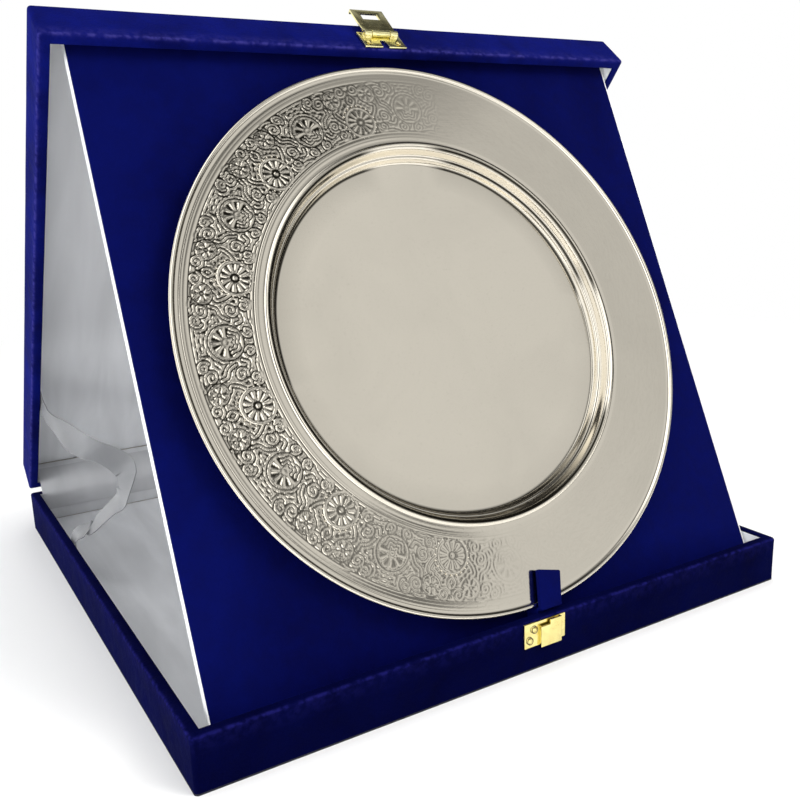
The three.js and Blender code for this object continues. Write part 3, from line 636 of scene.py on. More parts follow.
SCROLLS = [
    spiral(3.4, 15.4, 2.7, 1.6, 3.4), spiral(16.0, 13.2, 2.9, 1.7, 2.2, -1),
    spiral(13.4, 1.4, 2.6, 1.6, 4.2), spiral(10.6, -3.6, 2.2, 1.4, 2.6),
    spiral(20.6, 15.4, 2.5, 1.6, 5.0), spiral(20.8, -4.2, 2.2, 1.4, 1.2, -1),
    bent([(7.4, 1.6), (9.6, 4.2), (10.6, 7.0), (8.6, 8.0)]),
    bent([(0.0, 8.2), (1.6, 10.4), (0.6, 12.6)]),
    bent([(13.6, 9.8), (14.0, 7.2), (16.4, 5.6), (17.6, 2.6)]),
    bent([(14.6, -1.8), (17.0, -2.3), (18.6, -0.2)]),
    bent([(7.6, -3.4), (8.4, -6.0), (14.0, -5.6), (17.6, -6.4)]),
    bent([(11.8, 17.2), (14.6, 17.6), (17.6, 16.8)]),
]
LINE_PITCH = 1.5
# Radii of the motifs, and how far across and out from a rosette's middle they lie
ROSETTE, BUD, FAN = 7.0, 3.6, 6.4
BUD_ACROSS, BUD_OUT, FAN_OUT = 9.0, 12.6, 4.7
BAND_IN, BAND_OUT = 7.0, 18.6
RIM_LINES = (88.7, 89.9, 117.8, 119.0)


def rim_relief(r, theta, settings):
    """Height from -1 to 1 of the rim's ornament, the share in which it is cut, and a painted
    reflection tone for its ground.
    """
    pitch = 2 * math.pi / settings.rosettes
    off = (theta - ROSETTE_START + pitch / 2) % pitch - pitch / 2
    u, v = off * r, r - ROSETTE_RADIUS_ON_RIM
    a = np.abs(u)
    b = pitch / 2 * r - a

    # Lines that echo the outlines of the motifs
    rosette, bud = np.hypot(u, v) - ROSETTE, np.hypot(a - BUD_ACROSS, v - BUD_OUT) - BUD
    fan_r, fan_a = np.hypot(b, v - FAN_OUT), np.arctan2(b, v - FAN_OUT)
    away = np.minimum.reduce([rosette, bud, fan_r - FAN, v + BAND_IN, BAND_OUT - v]
                             + [distance_to(path, a, v) for path in SCROLLS])
    height = np.cos(2 * math.pi * away / LINE_PITCH)
    beads = np.sin(u * 1.9 + 0.7 * v) * np.sin(v * 2.1 - 0.5 * a)
    height = np.where(away > LINE_PITCH * 0.8, 0.75 * height + 0.65 * beads, height)

    height = np.where(rosette < 0.0, flower(u, v, ROSETTE - 0.4, settings.petals), height)
    buds = flower(a - BUD_ACROSS, v - BUD_OUT, BUD - 0.4, settings.petals // 2)
    height = np.where(bud < 0.0, buds, height)
    leaves = np.cos(fan_a * 9) * smooth(1.8, 3.0, fan_r) * smooth(6.2, 5.2, fan_r)
    arches = np.cos(2 * math.pi * (fan_r - FAN) / LINE_PITCH + 2.2 * np.cos(6 * fan_a))
    leaves = np.where(fan_a > 1.92, arches, leaves)
    leaves = np.maximum(leaves, 1.8 * ridge(fan_r - 1.2, 0.45) - 0.8)
    height = np.where(fan_r < FAN, leaves, height)

    band = smooth(90.1, 91.2, r) * smooth(118.0, 115.4, r)
    height = height * band
    for at in RIM_LINES:
        height = height + 0.8 * ridge(r - at, 0.3)
    turned = degrees_left(theta)
    cut = 0.02 + 0.98 * smooth(-16, 32, turned) * smooth(186, 108, turned)
    # Painted reflection: the ground darker or lighter by its place round the rim.
    painted_reflection = 0.07 + 0.08 * np.cos(theta + math.radians(60))
    return height, cut, painted_reflection * smooth(88.0, 88.8, r) * smooth(119.9, 119.1, r)


# Radius and height of the moulding, and of the sheet's back
SALVER_PROFILE = [
    (78.4, 1.42), (79.3, 1.55), (79.9, 2.2), (80.4, 3.2), (80.8, 4.1), (81.3, 4.55),
    (81.8, 4.7), (82.2, 5.1), (82.6, 6.1), (83.0, 7.3), (83.5, 8.4), (84.1, 9.0), (84.5, 9.1),
    (85.0, 9.55), (85.5, 9.6), (86.0, 9.2), (86.7, 9.0), (87.6, 8.98),
]
WELL_FLOOR_HEIGHT = 1.4
RIM_OUTER_HEIGHT = 8.0
BEAD_RADIUS = 1.0
SALVER_BACK = [
    (120.5, 6.95), (106.0, 7.4), (90.0, 7.8), (86.4, 7.9), (85.4, 7.4), (84.9, 5.6), (84.1, 3.9),
    (83.0, 3.3), (82.3, 2.7), (81.6, 1.6), (80.8, 0.7), (79.2, 0.32), (50.0, 0.32), (6.0, 0.32),
]


# Painted dark reflections in the moulding's grooves: radius, height, width, and the stretches
# where they run, from and to in degrees to the left of the top, with how dark they are
MOULDING_REFLECTION_LINES = [
    (84.3, 9.05, 0.7, [(-84, -9, 1.0), (14, 236, 1.0)]),
    (81.5, 4.6, 0.6, [(-80, -14, 1.0), (196, 232, 0.8)]),
    (79.3, 1.5, 0.6, [(-84, -12, 1.0), (12, 100, 1.0), (100, 275, 0.5)]),
]


def degrees_left(theta):
    """Degrees to the left of the salver's top, from -87.5 to 272.5."""
    return (np.degrees(theta) + 87.5) % 360 - 87.5


def painted_moulding_reflections(r, height, theta):
    """Painted dark reflections of the room's dark parts, as lines in the moulding's narrow
    grooves.
    """
    at, painted_reflection = degrees_left(theta), np.zeros(len(theta))
    for line_r, line_height, width, runs in MOULDING_REFLECTION_LINES:
        near = min(1.0, 1.5 * float(ridge(math.hypot(r - line_r, height - line_height), width)))
        for start, end, dark in runs:
            run = smooth(start - 4, start + 4, at) * smooth(end + 4, end - 4, at)
            painted_reflection = np.maximum(painted_reflection, near * dark * run)
    return painted_reflection


# Points round the rim, those of them on its chased part, and that part's ends in degrees
RIM_POINTS, CHASED_POINTS = 1080, 920
CHASED_FROM, CHASED_TO = -12, 196
RELIEF_END = 119.9


def make_salver_mesh(settings, material):
    """The turned sheet, dense where the chased ornament is deep."""
    fine, middle, coarse = RIM_POINTS, RIM_POINTS // 2, RIM_POINTS // 4
    ends = [math.radians(a) for a in (CHASED_FROM, CHASED_TO, CHASED_FROM + 360)]
    angles = np.concatenate([
        np.linspace(ends[0], ends[1], CHASED_POINTS, endpoint=False),
        np.linspace(ends[1], ends[2], fine - CHASED_POINTS, endpoint=False)])

    rows = [(r, WELL_FLOOR_HEIGHT, coarse) for r in (6.0, 25.0, 50.0, 68.0)]
    rows += [(r, h, middle) for r, h in bent(SALVER_PROFILE, 2)[:-1]]
    rim = np.linspace(SALVER_PROFILE[-1][0], RELIEF_END, 72)
    rows += [(r, rim_height(r), fine) for r in rim]
    bead_at = SALVER_RADIUS - BEAD_RADIUS
    rows.append((bead_at - 1.1, rim_height(bead_at - 1.1), middle))
    rows += [(r, h, middle) for r, h in arc(bead_at, RIM_OUTER_HEIGHT, BEAD_RADIUS, 140, -130, 12)]
    rows += [(r, h, coarse) for r, h in SALVER_BACK]

    points, tarnish_and_painted_reflection, starts = [], [], []
    for r, h, count in rows:
        starts.append((len(points), count))
        theta = angles[::fine // count]
        # The moulding's painted dark reflections.
        lift, dull_and_shade = np.zeros(count), painted_moulding_reflections(r, h, theta)
        if count == fine:
            height, cut, painted_reflection = rim_relief(np.full(count, r), theta, settings)
            lift = height * cut * settings.relief
            # Painted reflection tone on the lower ground, plus real tarnish in the ornament's
            # hollows.
            dull_and_shade = painted_reflection * smooth(0.9, 0.1, height * cut) + smooth(0.0, -0.55, height) * cut
        points += list(zip(-r * np.sin(theta), r * np.cos(theta), h + lift))
        tarnish_and_painted_reflection += list(dull_and_shade)
    faces = []
    for (a, na), (b, nb) in zip(starts[:-1], starts[1:]):
        (small, few), (large, many) = ((a, na), (b, nb)) if na <= nb else ((b, nb), (a, na))
        ratio = many // few
        for i in range(few):
            ring = [large + (i * ratio + k) % many for k in range(ratio + 1)]
            faces.append((small + i, *ring, small + (i + 1) % few))
    first, last = starts[0], starts[-1]
    faces.append(tuple(range(first[0], first[0] + first[1]))[::-1])
    faces.append(tuple(range(last[0], last[0] + last[1])))
    piece = new_piece("salver_dressed", points, faces, ON_DISH, material, sharp=75.0)
    mark(piece, "ground", tarnish_and_painted_reflection)
    return piece


def rim_height(r):
    start, height = SALVER_PROFILE[-1]
    return height + (RIM_OUTER_HEIGHT - height) * (r - start) / (SALVER_RADIUS - 2 - start)


# Beads, by Geometry Nodes

def bead_tree():
    """Beads on small circles that stand on a large one: a dotted ring round each rosette that lies
    below the given x.
    """
    tree = bpy.data.node_groups.new("Rosette beads", "GeometryNodeTree")
    for title, kind in (("Rosettes", "NodeSocketInt"), ("Beads", "NodeSocketInt"),
                        ("Rosette circle", FLOAT), ("Bead circle", FLOAT), ("Bead radius", FLOAT),
                        ("Start", FLOAT), ("Keep below x", FLOAT),
                        ("Material", "NodeSocketMaterial")):
        tree.interface.new_socket(title, in_out="INPUT", socket_type=kind)
    tree.interface.new_socket("Geometry", in_out="OUTPUT", socket_type="NodeSocketGeometry")
    given = tree.nodes.new("NodeGroupInput").outputs

    def made(kind, inputs):
        return put(tree, f"GeometryNode{kind}", inputs).outputs[0]

    ball = made("MeshIcoSphere", {"Radius": given["Bead radius"], "Subdivisions": 2})
    small = made("MeshCircle", {"Vertices": given["Beads"], "Radius": given["Bead circle"]})
    ring = made("InstanceOnPoints", {"Points": small, "Instance": ball, "Scale": (1.0, 1.0, 0.55)})
    ring = made("RealizeInstances", {"Geometry": ring})
    large = made("MeshCircle", {"Vertices": given["Rosettes"], "Radius": given["Rosette circle"]})
    turn = put(tree, "ShaderNodeCombineXYZ", {"Z": given["Start"]}).outputs[0]
    large = made("Transform", {"Geometry": large, "Rotation": turn})
    spot = put(tree, "ShaderNodeSeparateXYZ", {0: made("InputPosition", {})}).outputs
    kept = math_node(tree, "LESS_THAN", spot["X"], given["Keep below x"])
    whole = made("InstanceOnPoints", {"Points": large, "Instance": ring, "Selection": kept})
    whole = made("RealizeInstances", {"Geometry": whole})
    whole = made("SetMaterial", {"Geometry": whole, "Material": given["Material"]})
    put(tree, "NodeGroupOutput", {0: whole})
    return tree


def from_tree(name, tree, values, place):
    """A plain mesh piece from a Geometry Nodes tree, with its place in its mesh."""
    holder = in_scene(name, bpy.data.meshes.new(name))
    modifier = holder.modifiers.new("Build", "NODES")
    modifier.node_group = tree
    for item in tree.interface.items_tree:
        if item.in_out == "INPUT":
            modifier[item.identifier] = values[item.name]
    bpy.context.view_layer.update()
    ready = bpy.context.evaluated_depsgraph_get()
    mesh = bpy.data.meshes.new_from_object(holder.evaluated_get(ready))
    mesh.transform(place)
    mesh.name = name
    holder.modifiers.remove(modifier)
    holder.data = mesh
    mesh.shade_smooth()
    return holder


# Operators

class MakeStage(bpy.types.Operator):
    """Camera of the photograph, pale floor, soft lamps and a pale world"""
    bl_idname = "salver_case.stage"
    bl_label = "Stage"

    def execute(self, context):
        make_camera()
        make_floor()
        make_world()
        make_lamps()
        return {"FINISHED"}


def make_camera():
    origin = Vector((0.0, -CASE_DEPTH / 2, 0.0)) * MM
    eye = Vector(CAMERA_EYE) * CASE_WIDTH * MM + origin
    target = Vector(CAMERA_TARGET) * CASE_WIDTH * MM + origin
    forward = (target - eye).normalized()
    right = forward.cross(Vector((0, 0, 1))).normalized()
    level = Matrix((right, right.cross(forward), -forward)).transposed()
    data = bpy.data.cameras.new("Photograph camera")
    data.sensor_width = SENSOR_MM
    data.lens = CAMERA_FOCAL_PIXELS / PHOTO_PIXELS * SENSOR_MM
    data.clip_start = 0.01
    camera = in_scene("Photograph camera", data)
    camera.matrix_world = (Matrix.Translation(eye) @ level.to_4x4()
                           @ Matrix.Rotation(CAMERA_ROLL, 4, "Z"))
    bpy.context.scene.camera = camera


def rays(tree, *kinds):
    """1 for the rays of these kinds, 0 for the others."""
    paths = put(tree, "ShaderNodeLightPath").outputs
    share = paths[f"Is {kinds[0]} Ray"]
    for kind in kinds[1:]:
        share = add(tree, share, paths[f"Is {kind} Ray"], clamp=True)
    return share


def make_floor():
    half = 4.0
    mesh = bpy.data.meshes.new("floor")
    mesh.from_pydata([(-half, -half, 0), (half, -half, 0), (half, half, 0), (-half, half, 0)],
                     [], [(0, 1, 2, 3)])
    material = bpy.data.materials.new("Pale floor")
    tree = blank(material)
    at = put(tree, "ShaderNodeTexCoord").outputs["Object"]
    away = put(tree, "ShaderNodeVectorMath", {0: at}, operation="LENGTH").outputs["Value"]
    share = times(tree, rays(tree, "Camera", "Glossy", "Transmission"),
                  spread(tree, away, 0.35, 0.9))
    paint = put(tree, "ShaderNodeBsdfPrincipled", {
        "Base Color": (0.9, 0.9, 0.9, 1), "Roughness": 0.9, "Specular IOR Level": 0.0})
    white = put(tree, "ShaderNodeEmission", {"Color": (1, 1, 1, 1), "Strength": 1.0})
    both = put(tree, "ShaderNodeMixShader", {
        0: share, 1: paint.outputs[0], 2: white.outputs[0]})
    put(tree, "ShaderNodeOutputMaterial", {"Surface": both.outputs[0]})
    mesh.materials.append(material)
    in_scene("floor", mesh)


# Where a flat, polished salver on the panel sends the camera's view
MIRRORED_WAY = Vector((0.550, -0.653, 0.520)).normalized()
MIRRORED_SIDE = Vector((0.765, 0.644, 0.0))
# Degrees away from that way, and brightness: a broad window, then its frame and the room
RIGHT_OF_WINDOW = [(0, 0.74), (27, 0.70), (32, 0.05), (58, 0.015), (64, 0.3), (88, 0.3),
                   (94, 0.03), (102, 0.03), (108, 1.0), (180, 1.0)]
LEFT_OF_WINDOW = [(0, 0.76), (27, 0.76), (31, 0.3), (35, 0.25), (39, 1.9), (72, 1.9),
                  (75, 0.05), (84, 0.05), (88, 1.3), (180, 1.3)]
# The window's upper edge, its left edge, and a dark thing low before it
WINDOW_TOP = (0.66, 0.73)
WINDOW_LEFT = (0.27, 0.36)
DARK_THING = Vector((0.45, -0.85, 0.30)).normalized()


def level_ramp(tree, share, stops):
    ramp = put(tree, "ShaderNodeValToRGB", {0: share})
    elements = ramp.color_ramp.elements
    while len(elements) < len(stops):
        elements.new(0.5)
    for element, (degrees, level) in zip(elements, stops):
        element.position = degrees / 180
        element.color = (level, level, level, 1)
    return ramp.outputs[0]


def make_world():
    """White for the camera, even for the cloth, a window and its frame for the metal."""
    world = bpy.data.worlds.new("Pale room")
    bpy.context.scene.world = world
    tree = blank(world)
    way = put(tree, "ShaderNodeTexCoord").outputs["Generated"]
    toward = dot(tree, way, MIRRORED_WAY)
    from_middle = put(tree, "ShaderNodeVectorMath", {0: way, 1: MIRRORED_WAY},
                      operation="SUBTRACT").outputs[0]
    aside = dot(tree, from_middle, MIRRORED_SIDE)
    half_turns = math_node(tree, "DIVIDE", math_node(tree, "ARCCOSINE", toward), math.pi)
    uneven = times(tree, math_node(tree, "SUBTRACT", cloud(tree, way, 2.5, 1.0), 0.5), 0.07)
    half_turns = add(tree, half_turns, uneven)
    mirrored = mixed(tree, spread(tree, aside, -0.2, 0.2),
                     level_ramp(tree, half_turns, LEFT_OF_WINDOW),
                     level_ramp(tree, half_turns, RIGHT_OF_WINDOW))
    parts = put(tree, "ShaderNodeSeparateXYZ", {0: way}).outputs
    dimmed = times(tree, spread(tree, parts["Z"], *WINDOW_TOP, 1.0, 0.55),
                   spread(tree, parts["X"], *WINDOW_LEFT, 0.62, 1.0))
    thing = spread(tree, dot(tree, way, DARK_THING), 0.9945, 0.9990, 1.0, 0.25)
    dimmed = times(tree, dimmed, thing)
    near = spread(tree, toward, 0.8, 0.86)
    dimmed = add(tree, times(tree, near, dimmed), math_node(tree, "SUBTRACT", 1.0, near))

    def light(colour, strength):
        return put(tree, "ShaderNodeBackground",
                   {"Color": colour, "Strength": strength}).outputs[0]

    def either(share, a, b):
        return put(tree, "ShaderNodeMixShader", {0: share, 1: a, 2: b}).outputs[0]

    white = (1, 1, 1, 1)
    room = either(rays(tree, "Camera"), light(white, 0.75), light(white, 1.0))
    room = either(rays(tree, "Glossy", "Transmission"), room, light(mirrored, dimmed))
    put(tree, "ShaderNodeOutputWorld", {"Surface": room})
    bpy.context.scene.view_settings.view_transform = "Standard"


# Name, place, size, watts and colour
LAMPS = [
    ("Key lamp", (0.9, -1.1, 1.25), 1.0, 20.0, (1.0, 0.98, 0.95)),
    ("Fill lamp", (-1.5, -0.9, 0.9), 1.2, 9.0, (0.95, 0.97, 1.0)),
    ("Top lamp", (-0.1, 0.5, 1.9), 1.2, 9.0, (1.0, 1.0, 1.0)),
    ("Side lamp", (-1.0, -0.28, 0.1), 0.5, 9.5, (1.0, 1.0, 1.0)),
]
LAMPS_AIM = Vector((0.0, -0.03, 0.12))


def make_lamps():
    for name, place, across, watts, colour in LAMPS:
        data = bpy.data.lights.new(name, "AREA")
        data.size, data.energy, data.color = across, watts, colour
        lamp = in_scene(name, data)
        lamp.location = place
        lamp.rotation_euler = (LAMPS_AIM - Vector(place)).to_track_quat("-Z", "Y").to_euler()
        lamp.visible_glossy = False


class MakeVelvetCovers(bpy.types.Operator):
    """Velvet over the base's walls and over the lid"""
    bl_idname = "salver_case.velvet_covers"
    bl_label = "Velvet covers"

    def execute(self, context):
        edge, lip = context.scene.case_settings.edge, RIM_WIDTH
        top, inner = BASE_HEIGHT, edge * 0.6
        section = [(0.0, SKIN), (0.0, 4.0), (0.0, 9.0), (0.0, 14.0), (0.0, top - edge)]
        section += arc(edge, top - edge, edge, 180, 90)[1:]
        section += [(lip * 0.5, top + 0.1)]
        section += arc(lip - inner, top - inner, inner, 90, 0)
        section += [(lip, top - SKIN), (SKIN, top - SKIN), (SKIN, SKIN)]
        rings = velvet_rings(section, 0.0, 3)
        points, faces = loft(rings, closed_section=True)
        cover = new_piece("base_velvet", points, faces, IN_BASE, MATERIALS["velvet_base"])
        wear_and_highlight_edges(cover, section, len(rings[0]), edge, top - edge / 2)
        settle(cover, "base", "velvet", "base_velvet_cover")

        roof, inner = LID_HEIGHT, edge * 0.5
        insets = [140.0, 110.0, 70.0, 35.0, 12.0, 4.0]
        section = [(i, roof - SKIN) for i in insets] + [(SKIN, roof - SKIN), (SKIN, SKIN)]
        section += [(lip, SKIN)] + arc(lip - inner, inner, inner, 0, -90)
        section += [(lip * 0.5, -0.1)] + arc(edge, edge, edge, 270, 180)
        section += [(0.0, 6.0), (0.0, 10.0), (0.0, 14.0)]
        section += arc(edge, roof - edge, edge, 180, 90)
        section += [(i, roof) for i in reversed(insets)]
        rings = velvet_rings(section, LID_MIDDLE, 5)
        points, faces = loft(rings)
        lid = new_piece("lid_velvet", points, faces, IN_LID, MATERIALS["velvet_lid"])
        wear_and_highlight_edges(lid, section, len(rings[0]), edge, edge / 2)
        settle(lid, "lid", "velvet", "lid_velvet_cover")
        return {"FINISHED"}


def wear_and_highlight_edges(cover, section, count, edge, height):
    """Marks how much the pile is rubbed and lit by a painted highlight, most on the rim's outer
    edge.
    """
    wear_and_highlight = []
    for inset, z in section:
        away = math.hypot(inset - edge * 0.3, z - height)
        wear_and_highlight += [float(ridge(away, 0.7)) if inset < edge * 1.2 else 0.0] * count
    mark(cover, "wear_and_highlight", wear_and_highlight)


class MakeLinings(bpy.types.Operator):
    """Satin on the floor and walls of both trays"""
    bl_idname = "salver_case.linings"
    bl_label = "Satin linings"

    def execute(self, context):
        fold = context.scene.case_settings.fold
        inner_x = CASE_WIDTH / 2 - RIM_WIDTH + SKIN
        inner_y = CASE_DEPTH / 2 - RIM_WIDTH + SKIN
        floor = satin_pad("base_floor_satin", inner_x, inner_y, 0.0, 3.7, 4.6, 1, fold * 0.5,
                          IN_BASE, 11)
        settle(floor, "base", "satin", "base_floor_lining")
        pad = satin_pad("lid_satin_pad", inner_x, inner_y, LID_MIDDLE, 15.4, 14.2, -1, fold,
                        IN_LID, 23)
        # Painted shade on the lid's pad, darker far from the hinge.
        mark(pad, "dull_and_shade", 0.2 * smooth(100, 135, -depths(pad, IN_LID)))
        settle(pad, "lid", "satin", "lid_lining_pad")
        for name, low, high, centre, place, body, node in (
                ("base_wall_satin", 4.6, 21.3, 0.0, IN_BASE, "base", "base_wall_lining"),
                ("lid_wall_satin", 1.0, 13.9, LID_MIDDLE, IN_LID, "lid", "lid_wall_lining")):
            wall = satin_wall(name, low, high, centre, place)
            # Painted shade on the walls at the rear, by the hinge.
            mark(wall, "dull_and_shade", 0.35 * smooth(inner_y - 4, inner_y, depths(wall, place) - centre))
            settle(wall, body, "satin", node)
        return {"FINISHED"}


def depths(piece, place):
    """How far back each point of a piece lies in its tray."""
    back = place.inverted()
    return np.array([(back @ v.co).y for v in piece.data.vertices]) / MM


def satin_pad(name, half_x, half_y, centre_y, back, face, out, fold, place, seed):
    """A thin satin sheet over its card, with shallow folds on the face."""
    n = 120
    x, y = np.meshgrid(np.linspace(-half_x, half_x, n), np.linspace(-half_y, half_y, n),
                       indexing="ij")
    border = np.minimum(half_x - np.abs(x), half_y - np.abs(y))
    long_folds = np.abs(ripple(x, y * 0.22, 46.0, seed)) ** 1.2
    lift = 0.75 * long_folds + 0.3 * ripple(x, y, 22.0, seed + 1)
    lift = fold * np.clip(border / 14.0, 0, 1) * lift - 0.1
    roll = 0.35 * (1 - np.clip(border, 0, 1)) ** 2
    sides = [np.stack([x, y + centre_y, z], axis=-1).reshape(-1, 3)
             for z in (face + out * (lift - roll), np.full(x.shape, back))]
    ids = np.arange(n * n).reshape(n, n)
    quads = np.stack([ids[:-1, :-1], ids[1:, :-1], ids[1:, 1:], ids[:-1, 1:]], axis=-1)
    faces = quads.reshape(-1, 4).tolist()
    faces += [[i + n * n for i in quad[::-1]] for quad in faces]
    rim = np.concatenate([ids[:, 0], ids[-1, 1:], ids[-2::-1, -1], ids[0, -2:0:-1]]).tolist()
    faces += [(a, b, b + n * n, a + n * n) for a, b in zip(rim, rim[1:] + rim[:1])]
    return new_piece(name, np.vstack(sides), faces, place, MATERIALS["satin"])


def satin_wall(name, low, high, centre_y, place):
    """Satin round the inside of a tray's walls."""
    def push(x, y, inset, height):
        loose = inset == RIM_WIDTH and low < height < high
        wave = 0.12 * ripple(x * 2 + y, y * 2 + height, 26.0, 31)
        return -np.abs(wave) if loose else 0.0 * wave

    section = [(RIM_WIDTH - SKIN, low), (RIM_WIDTH - SKIN, high), (RIM_WIDTH - 0.05, high)]
    section += [(RIM_WIDTH, height) for height in np.linspace(high - 0.6, low, 6)]
    points, faces = loft(tray_rings(section, centre_y, lambda inset: 1.2, push),
                         closed_section=True)
    return new_piece(name, points, faces, place, MATERIALS["satin"])


class MakePanel(bpy.types.Operator):
    """Velvet face, satin back and keeper hook of the display panel"""
    bl_idname = "salver_case.panel"
    bl_label = "Display panel"

    def execute(self, context):
        for piece, slot, node in ((panel_velvet(), "velvet", "panel_velvet_face"),
                                  (panel_satin(), "satin", "panel_satin_back"),
                                  (keeper_hook(), "velvet", "keeper_hook")):
            settle(piece, "panel", slot, node)
        return {"FINISHED"}


# How far the velvet laps over the card's back, and the satin's start beside it
PANEL_LAP = 3 * PANEL_HALF_THICK
SATIN_GAP = 0.3


def panel_velvet():
    """Velvet on the panel's face, round its foot and over its top edge."""
    def outline(radius):
        path = [(radius, PANEL_LAP), (radius, PANEL_LAP / 2)] + arc(0, 0, radius, 0, -180, 8)
        path += [(-radius, PANEL_LENGTH * k / 40) for k in range(1, 40)]
        path += [(y, PANEL_LENGTH + z) for y, z in arc(0, 0, radius, 180, 0, 8)]
        return path + [(radius, PANEL_LENGTH - PANEL_LAP / 2), (radius, PANEL_LENGTH - PANEL_LAP)]

    half, rounding = PANEL_HALF_WIDTH - PANEL_SKIN, 1.6
    spots = [0.0, 0.25, 0.7, rounding] + list(np.linspace(6.0, 2 * half - 6.0, 46))
    spots += [2 * half - rounding, 2 * half - 0.7, 2 * half - 0.25, 2 * half]
    sections = []
    for spot in spots:
        near = min(spot, 2 * half - spot)
        drop = 0.34 * (1 - math.sqrt(1 - (1 - min(near / rounding, 1)) ** 2))
        sections.append([
            (spot - half, y + drop if y < 0 else y, z)
            for y, z in outline(PANEL_HALF_THICK) + outline(PANEL_HALF_THICK - PANEL_SKIN)])
    points, faces = sheet_solid(sections)
    return new_piece("panel_velvet", points, faces, ON_PANEL, MATERIALS["velvet_panel"])


def panel_satin():
    """Satin on the panel's back and round its side edges."""
    r, front = PANEL_HALF_THICK, -PANEL_HALF_THICK + 0.25

    def hug(inset):
        side, back, corner = PANEL_HALF_WIDTH - inset, r - inset, 0.9 - inset
        path = [(-side, front), (-side, 0.0), (-side, back - corner)]
        path += arc(-side + corner, back - corner, corner, 180, 90, 4)[1:]
        path += [(x, back) for x in np.linspace(-side + 8, side - 8, 50)]
        path += arc(side - corner, back - corner, corner, 90, 0, 4)[:-1]
        return path + [(side, back - corner), (side, 0.0), (side, front)]

    low, high = PANEL_LAP + SATIN_GAP, PANEL_LENGTH - PANEL_LAP - SATIN_GAP
    points, faces = sheet_solid([[(x, y, z) for x, y in hug(0.0) + hug(PANEL_SKIN)]
                                 for z in np.linspace(low, high, 40)])
    for side in (-1, 1):
        for z0, z1 in ((0.0, low), (high, PANEL_LENGTH)):
            across = (side * PANEL_HALF_WIDTH, side * (PANEL_HALF_WIDTH - PANEL_SKIN))
            box = [(x, y, z) for x in across for y in (front, r) for z in (z0, z1)]
            start = len(points)
            points = np.vstack([points, box])
            faces += [tuple(start + k for k in quad) for quad in (
                (0, 1, 3, 2), (4, 6, 7, 5), (0, 4, 5, 1), (2, 3, 7, 6), (0, 2, 6, 4),
                (1, 5, 7, 3))]
    return new_piece("panel_satin", points, faces, ON_PANEL, MATERIALS["satin"])


# Depth before the panel's middle and height above its foot; the lip starts at the bar's top
HOOK_OUTLINE = [
    (-11.0, 13.2), (-1.9, 13.2), (-1.9, 6.8), (-7.8, 6.8), (-10.2, 12.1), (-13.8, 12.1),
    (-13.8, 13.2), (-13.8, 27.2), (-11.0, 27.2),
]
HOOK_HALF_WIDTH = 5.45
HOOK_MIDDLE = 6.35
HOOK_LEAN = math.tan(math.radians(14.5))
HOOK_ROUNDING = 0.9
HOOK_SIDE_ROUNDING = 0.6
# Where the bar ends under the lip, in the outline, and a spot inside the lip
HOOK_BAR_END = 6
INSIDE_LIP = Vector((-12.4, 20.0))


def keeper_hook():
    """A bar under the salver and a lip in front of its rim, leaning to the right."""
    corners = [Vector(p) for p in HOOK_OUTLINE]
    bar_top, lip_top = corners[0].y, corners[-1].y
    outline, lip_start = [], 0
    for i, corner in enumerate(corners):
        if i in (0, HOOK_BAR_END):
            lip_start = len(outline)
            outline.append(corner)
            continue
        before, after = corners[i - 1] - corner, corners[(i + 1) % len(corners)] - corner
        room = min(HOOK_ROUNDING, before.length * 0.45, after.length * 0.45)
        a, b = corner + before.normalized() * room, corner + after.normalized() * room
        outline += [a.lerp(corner, t).lerp(corner.lerp(b, t), t) for t in np.linspace(0, 1, 5)]
    count = len(outline)
    headings = [(outline[(i + 1) % count] - outline[i - 1]).normalized() for i in range(count)]
    inward = [Vector((-along.y, along.x)) for along in headings]
    if inward[-2].dot(INSIDE_LIP - outline[-2]) < 0:
        inward = [-way for way in inward]
    rings = []
    turns = [math.radians(a) for a in (0, 22, 45, 67, 90)]
    for side, turn in [(-1, t) for t in turns] + [(1, t) for t in reversed(turns)]:
        x = side * (HOOK_HALF_WIDTH - HOOK_SIDE_ROUNDING * (1 - math.cos(turn)))
        ring = []
        for spot, way in zip(outline, inward):
            y, z = spot + way * HOOK_SIDE_ROUNDING * (1 - math.sin(turn))
            above = max(z - bar_top, 0.0)
            z -= HOOK_LEAN * x * above / (lip_top - bar_top)
            ring.append((HOOK_MIDDLE + x + HOOK_LEAN * above, y, z))
        rings.append(ring)
    points, faces = loft(rings)
    lip, bar = [0] + list(range(lip_start, count)), list(range(lip_start + 1))
    faces = faces[:-2] + [tuple(start + k for k in part)
                          for start in (0, len(points) - count) for part in (lip, bar)]
    return new_piece("keeper_hook_velvet", points, faces, ON_PANEL, MATERIALS["velvet_panel"],
                     sharp=50.0)


class MakeSalver(bpy.types.Operator):
    """The salver with its chased rim, and the beads round its rosettes"""
    bl_idname = "salver_case.salver"
    bl_label = "Salver"

    def execute(self, context):
        settings = context.scene.salver_settings
        silver = MATERIALS["silver"]
        dish = make_salver_mesh(settings, silver)
        settle(dish, "salver", "salver_metal", "salver")
        height = rim_height(ROSETTE_RADIUS_ON_RIM)
        place = ON_DISH @ Matrix.Translation((0, 0, height * MM))
        beads = from_tree("rosette_beads", bead_tree(), {
            "Rosettes": settings.rosettes, "Beads": 20,
            "Rosette circle": ROSETTE_RADIUS_ON_RIM * MM, "Bead circle": 7.7 * MM,
            "Bead radius": settings.bead * MM, "Start": ROSETTE_START + math.pi / 2,
            "Keep below x": 0.0, "Material": silver}, place)
        settle(beads, "salver", "salver_metal")
        return {"FINISHED"}


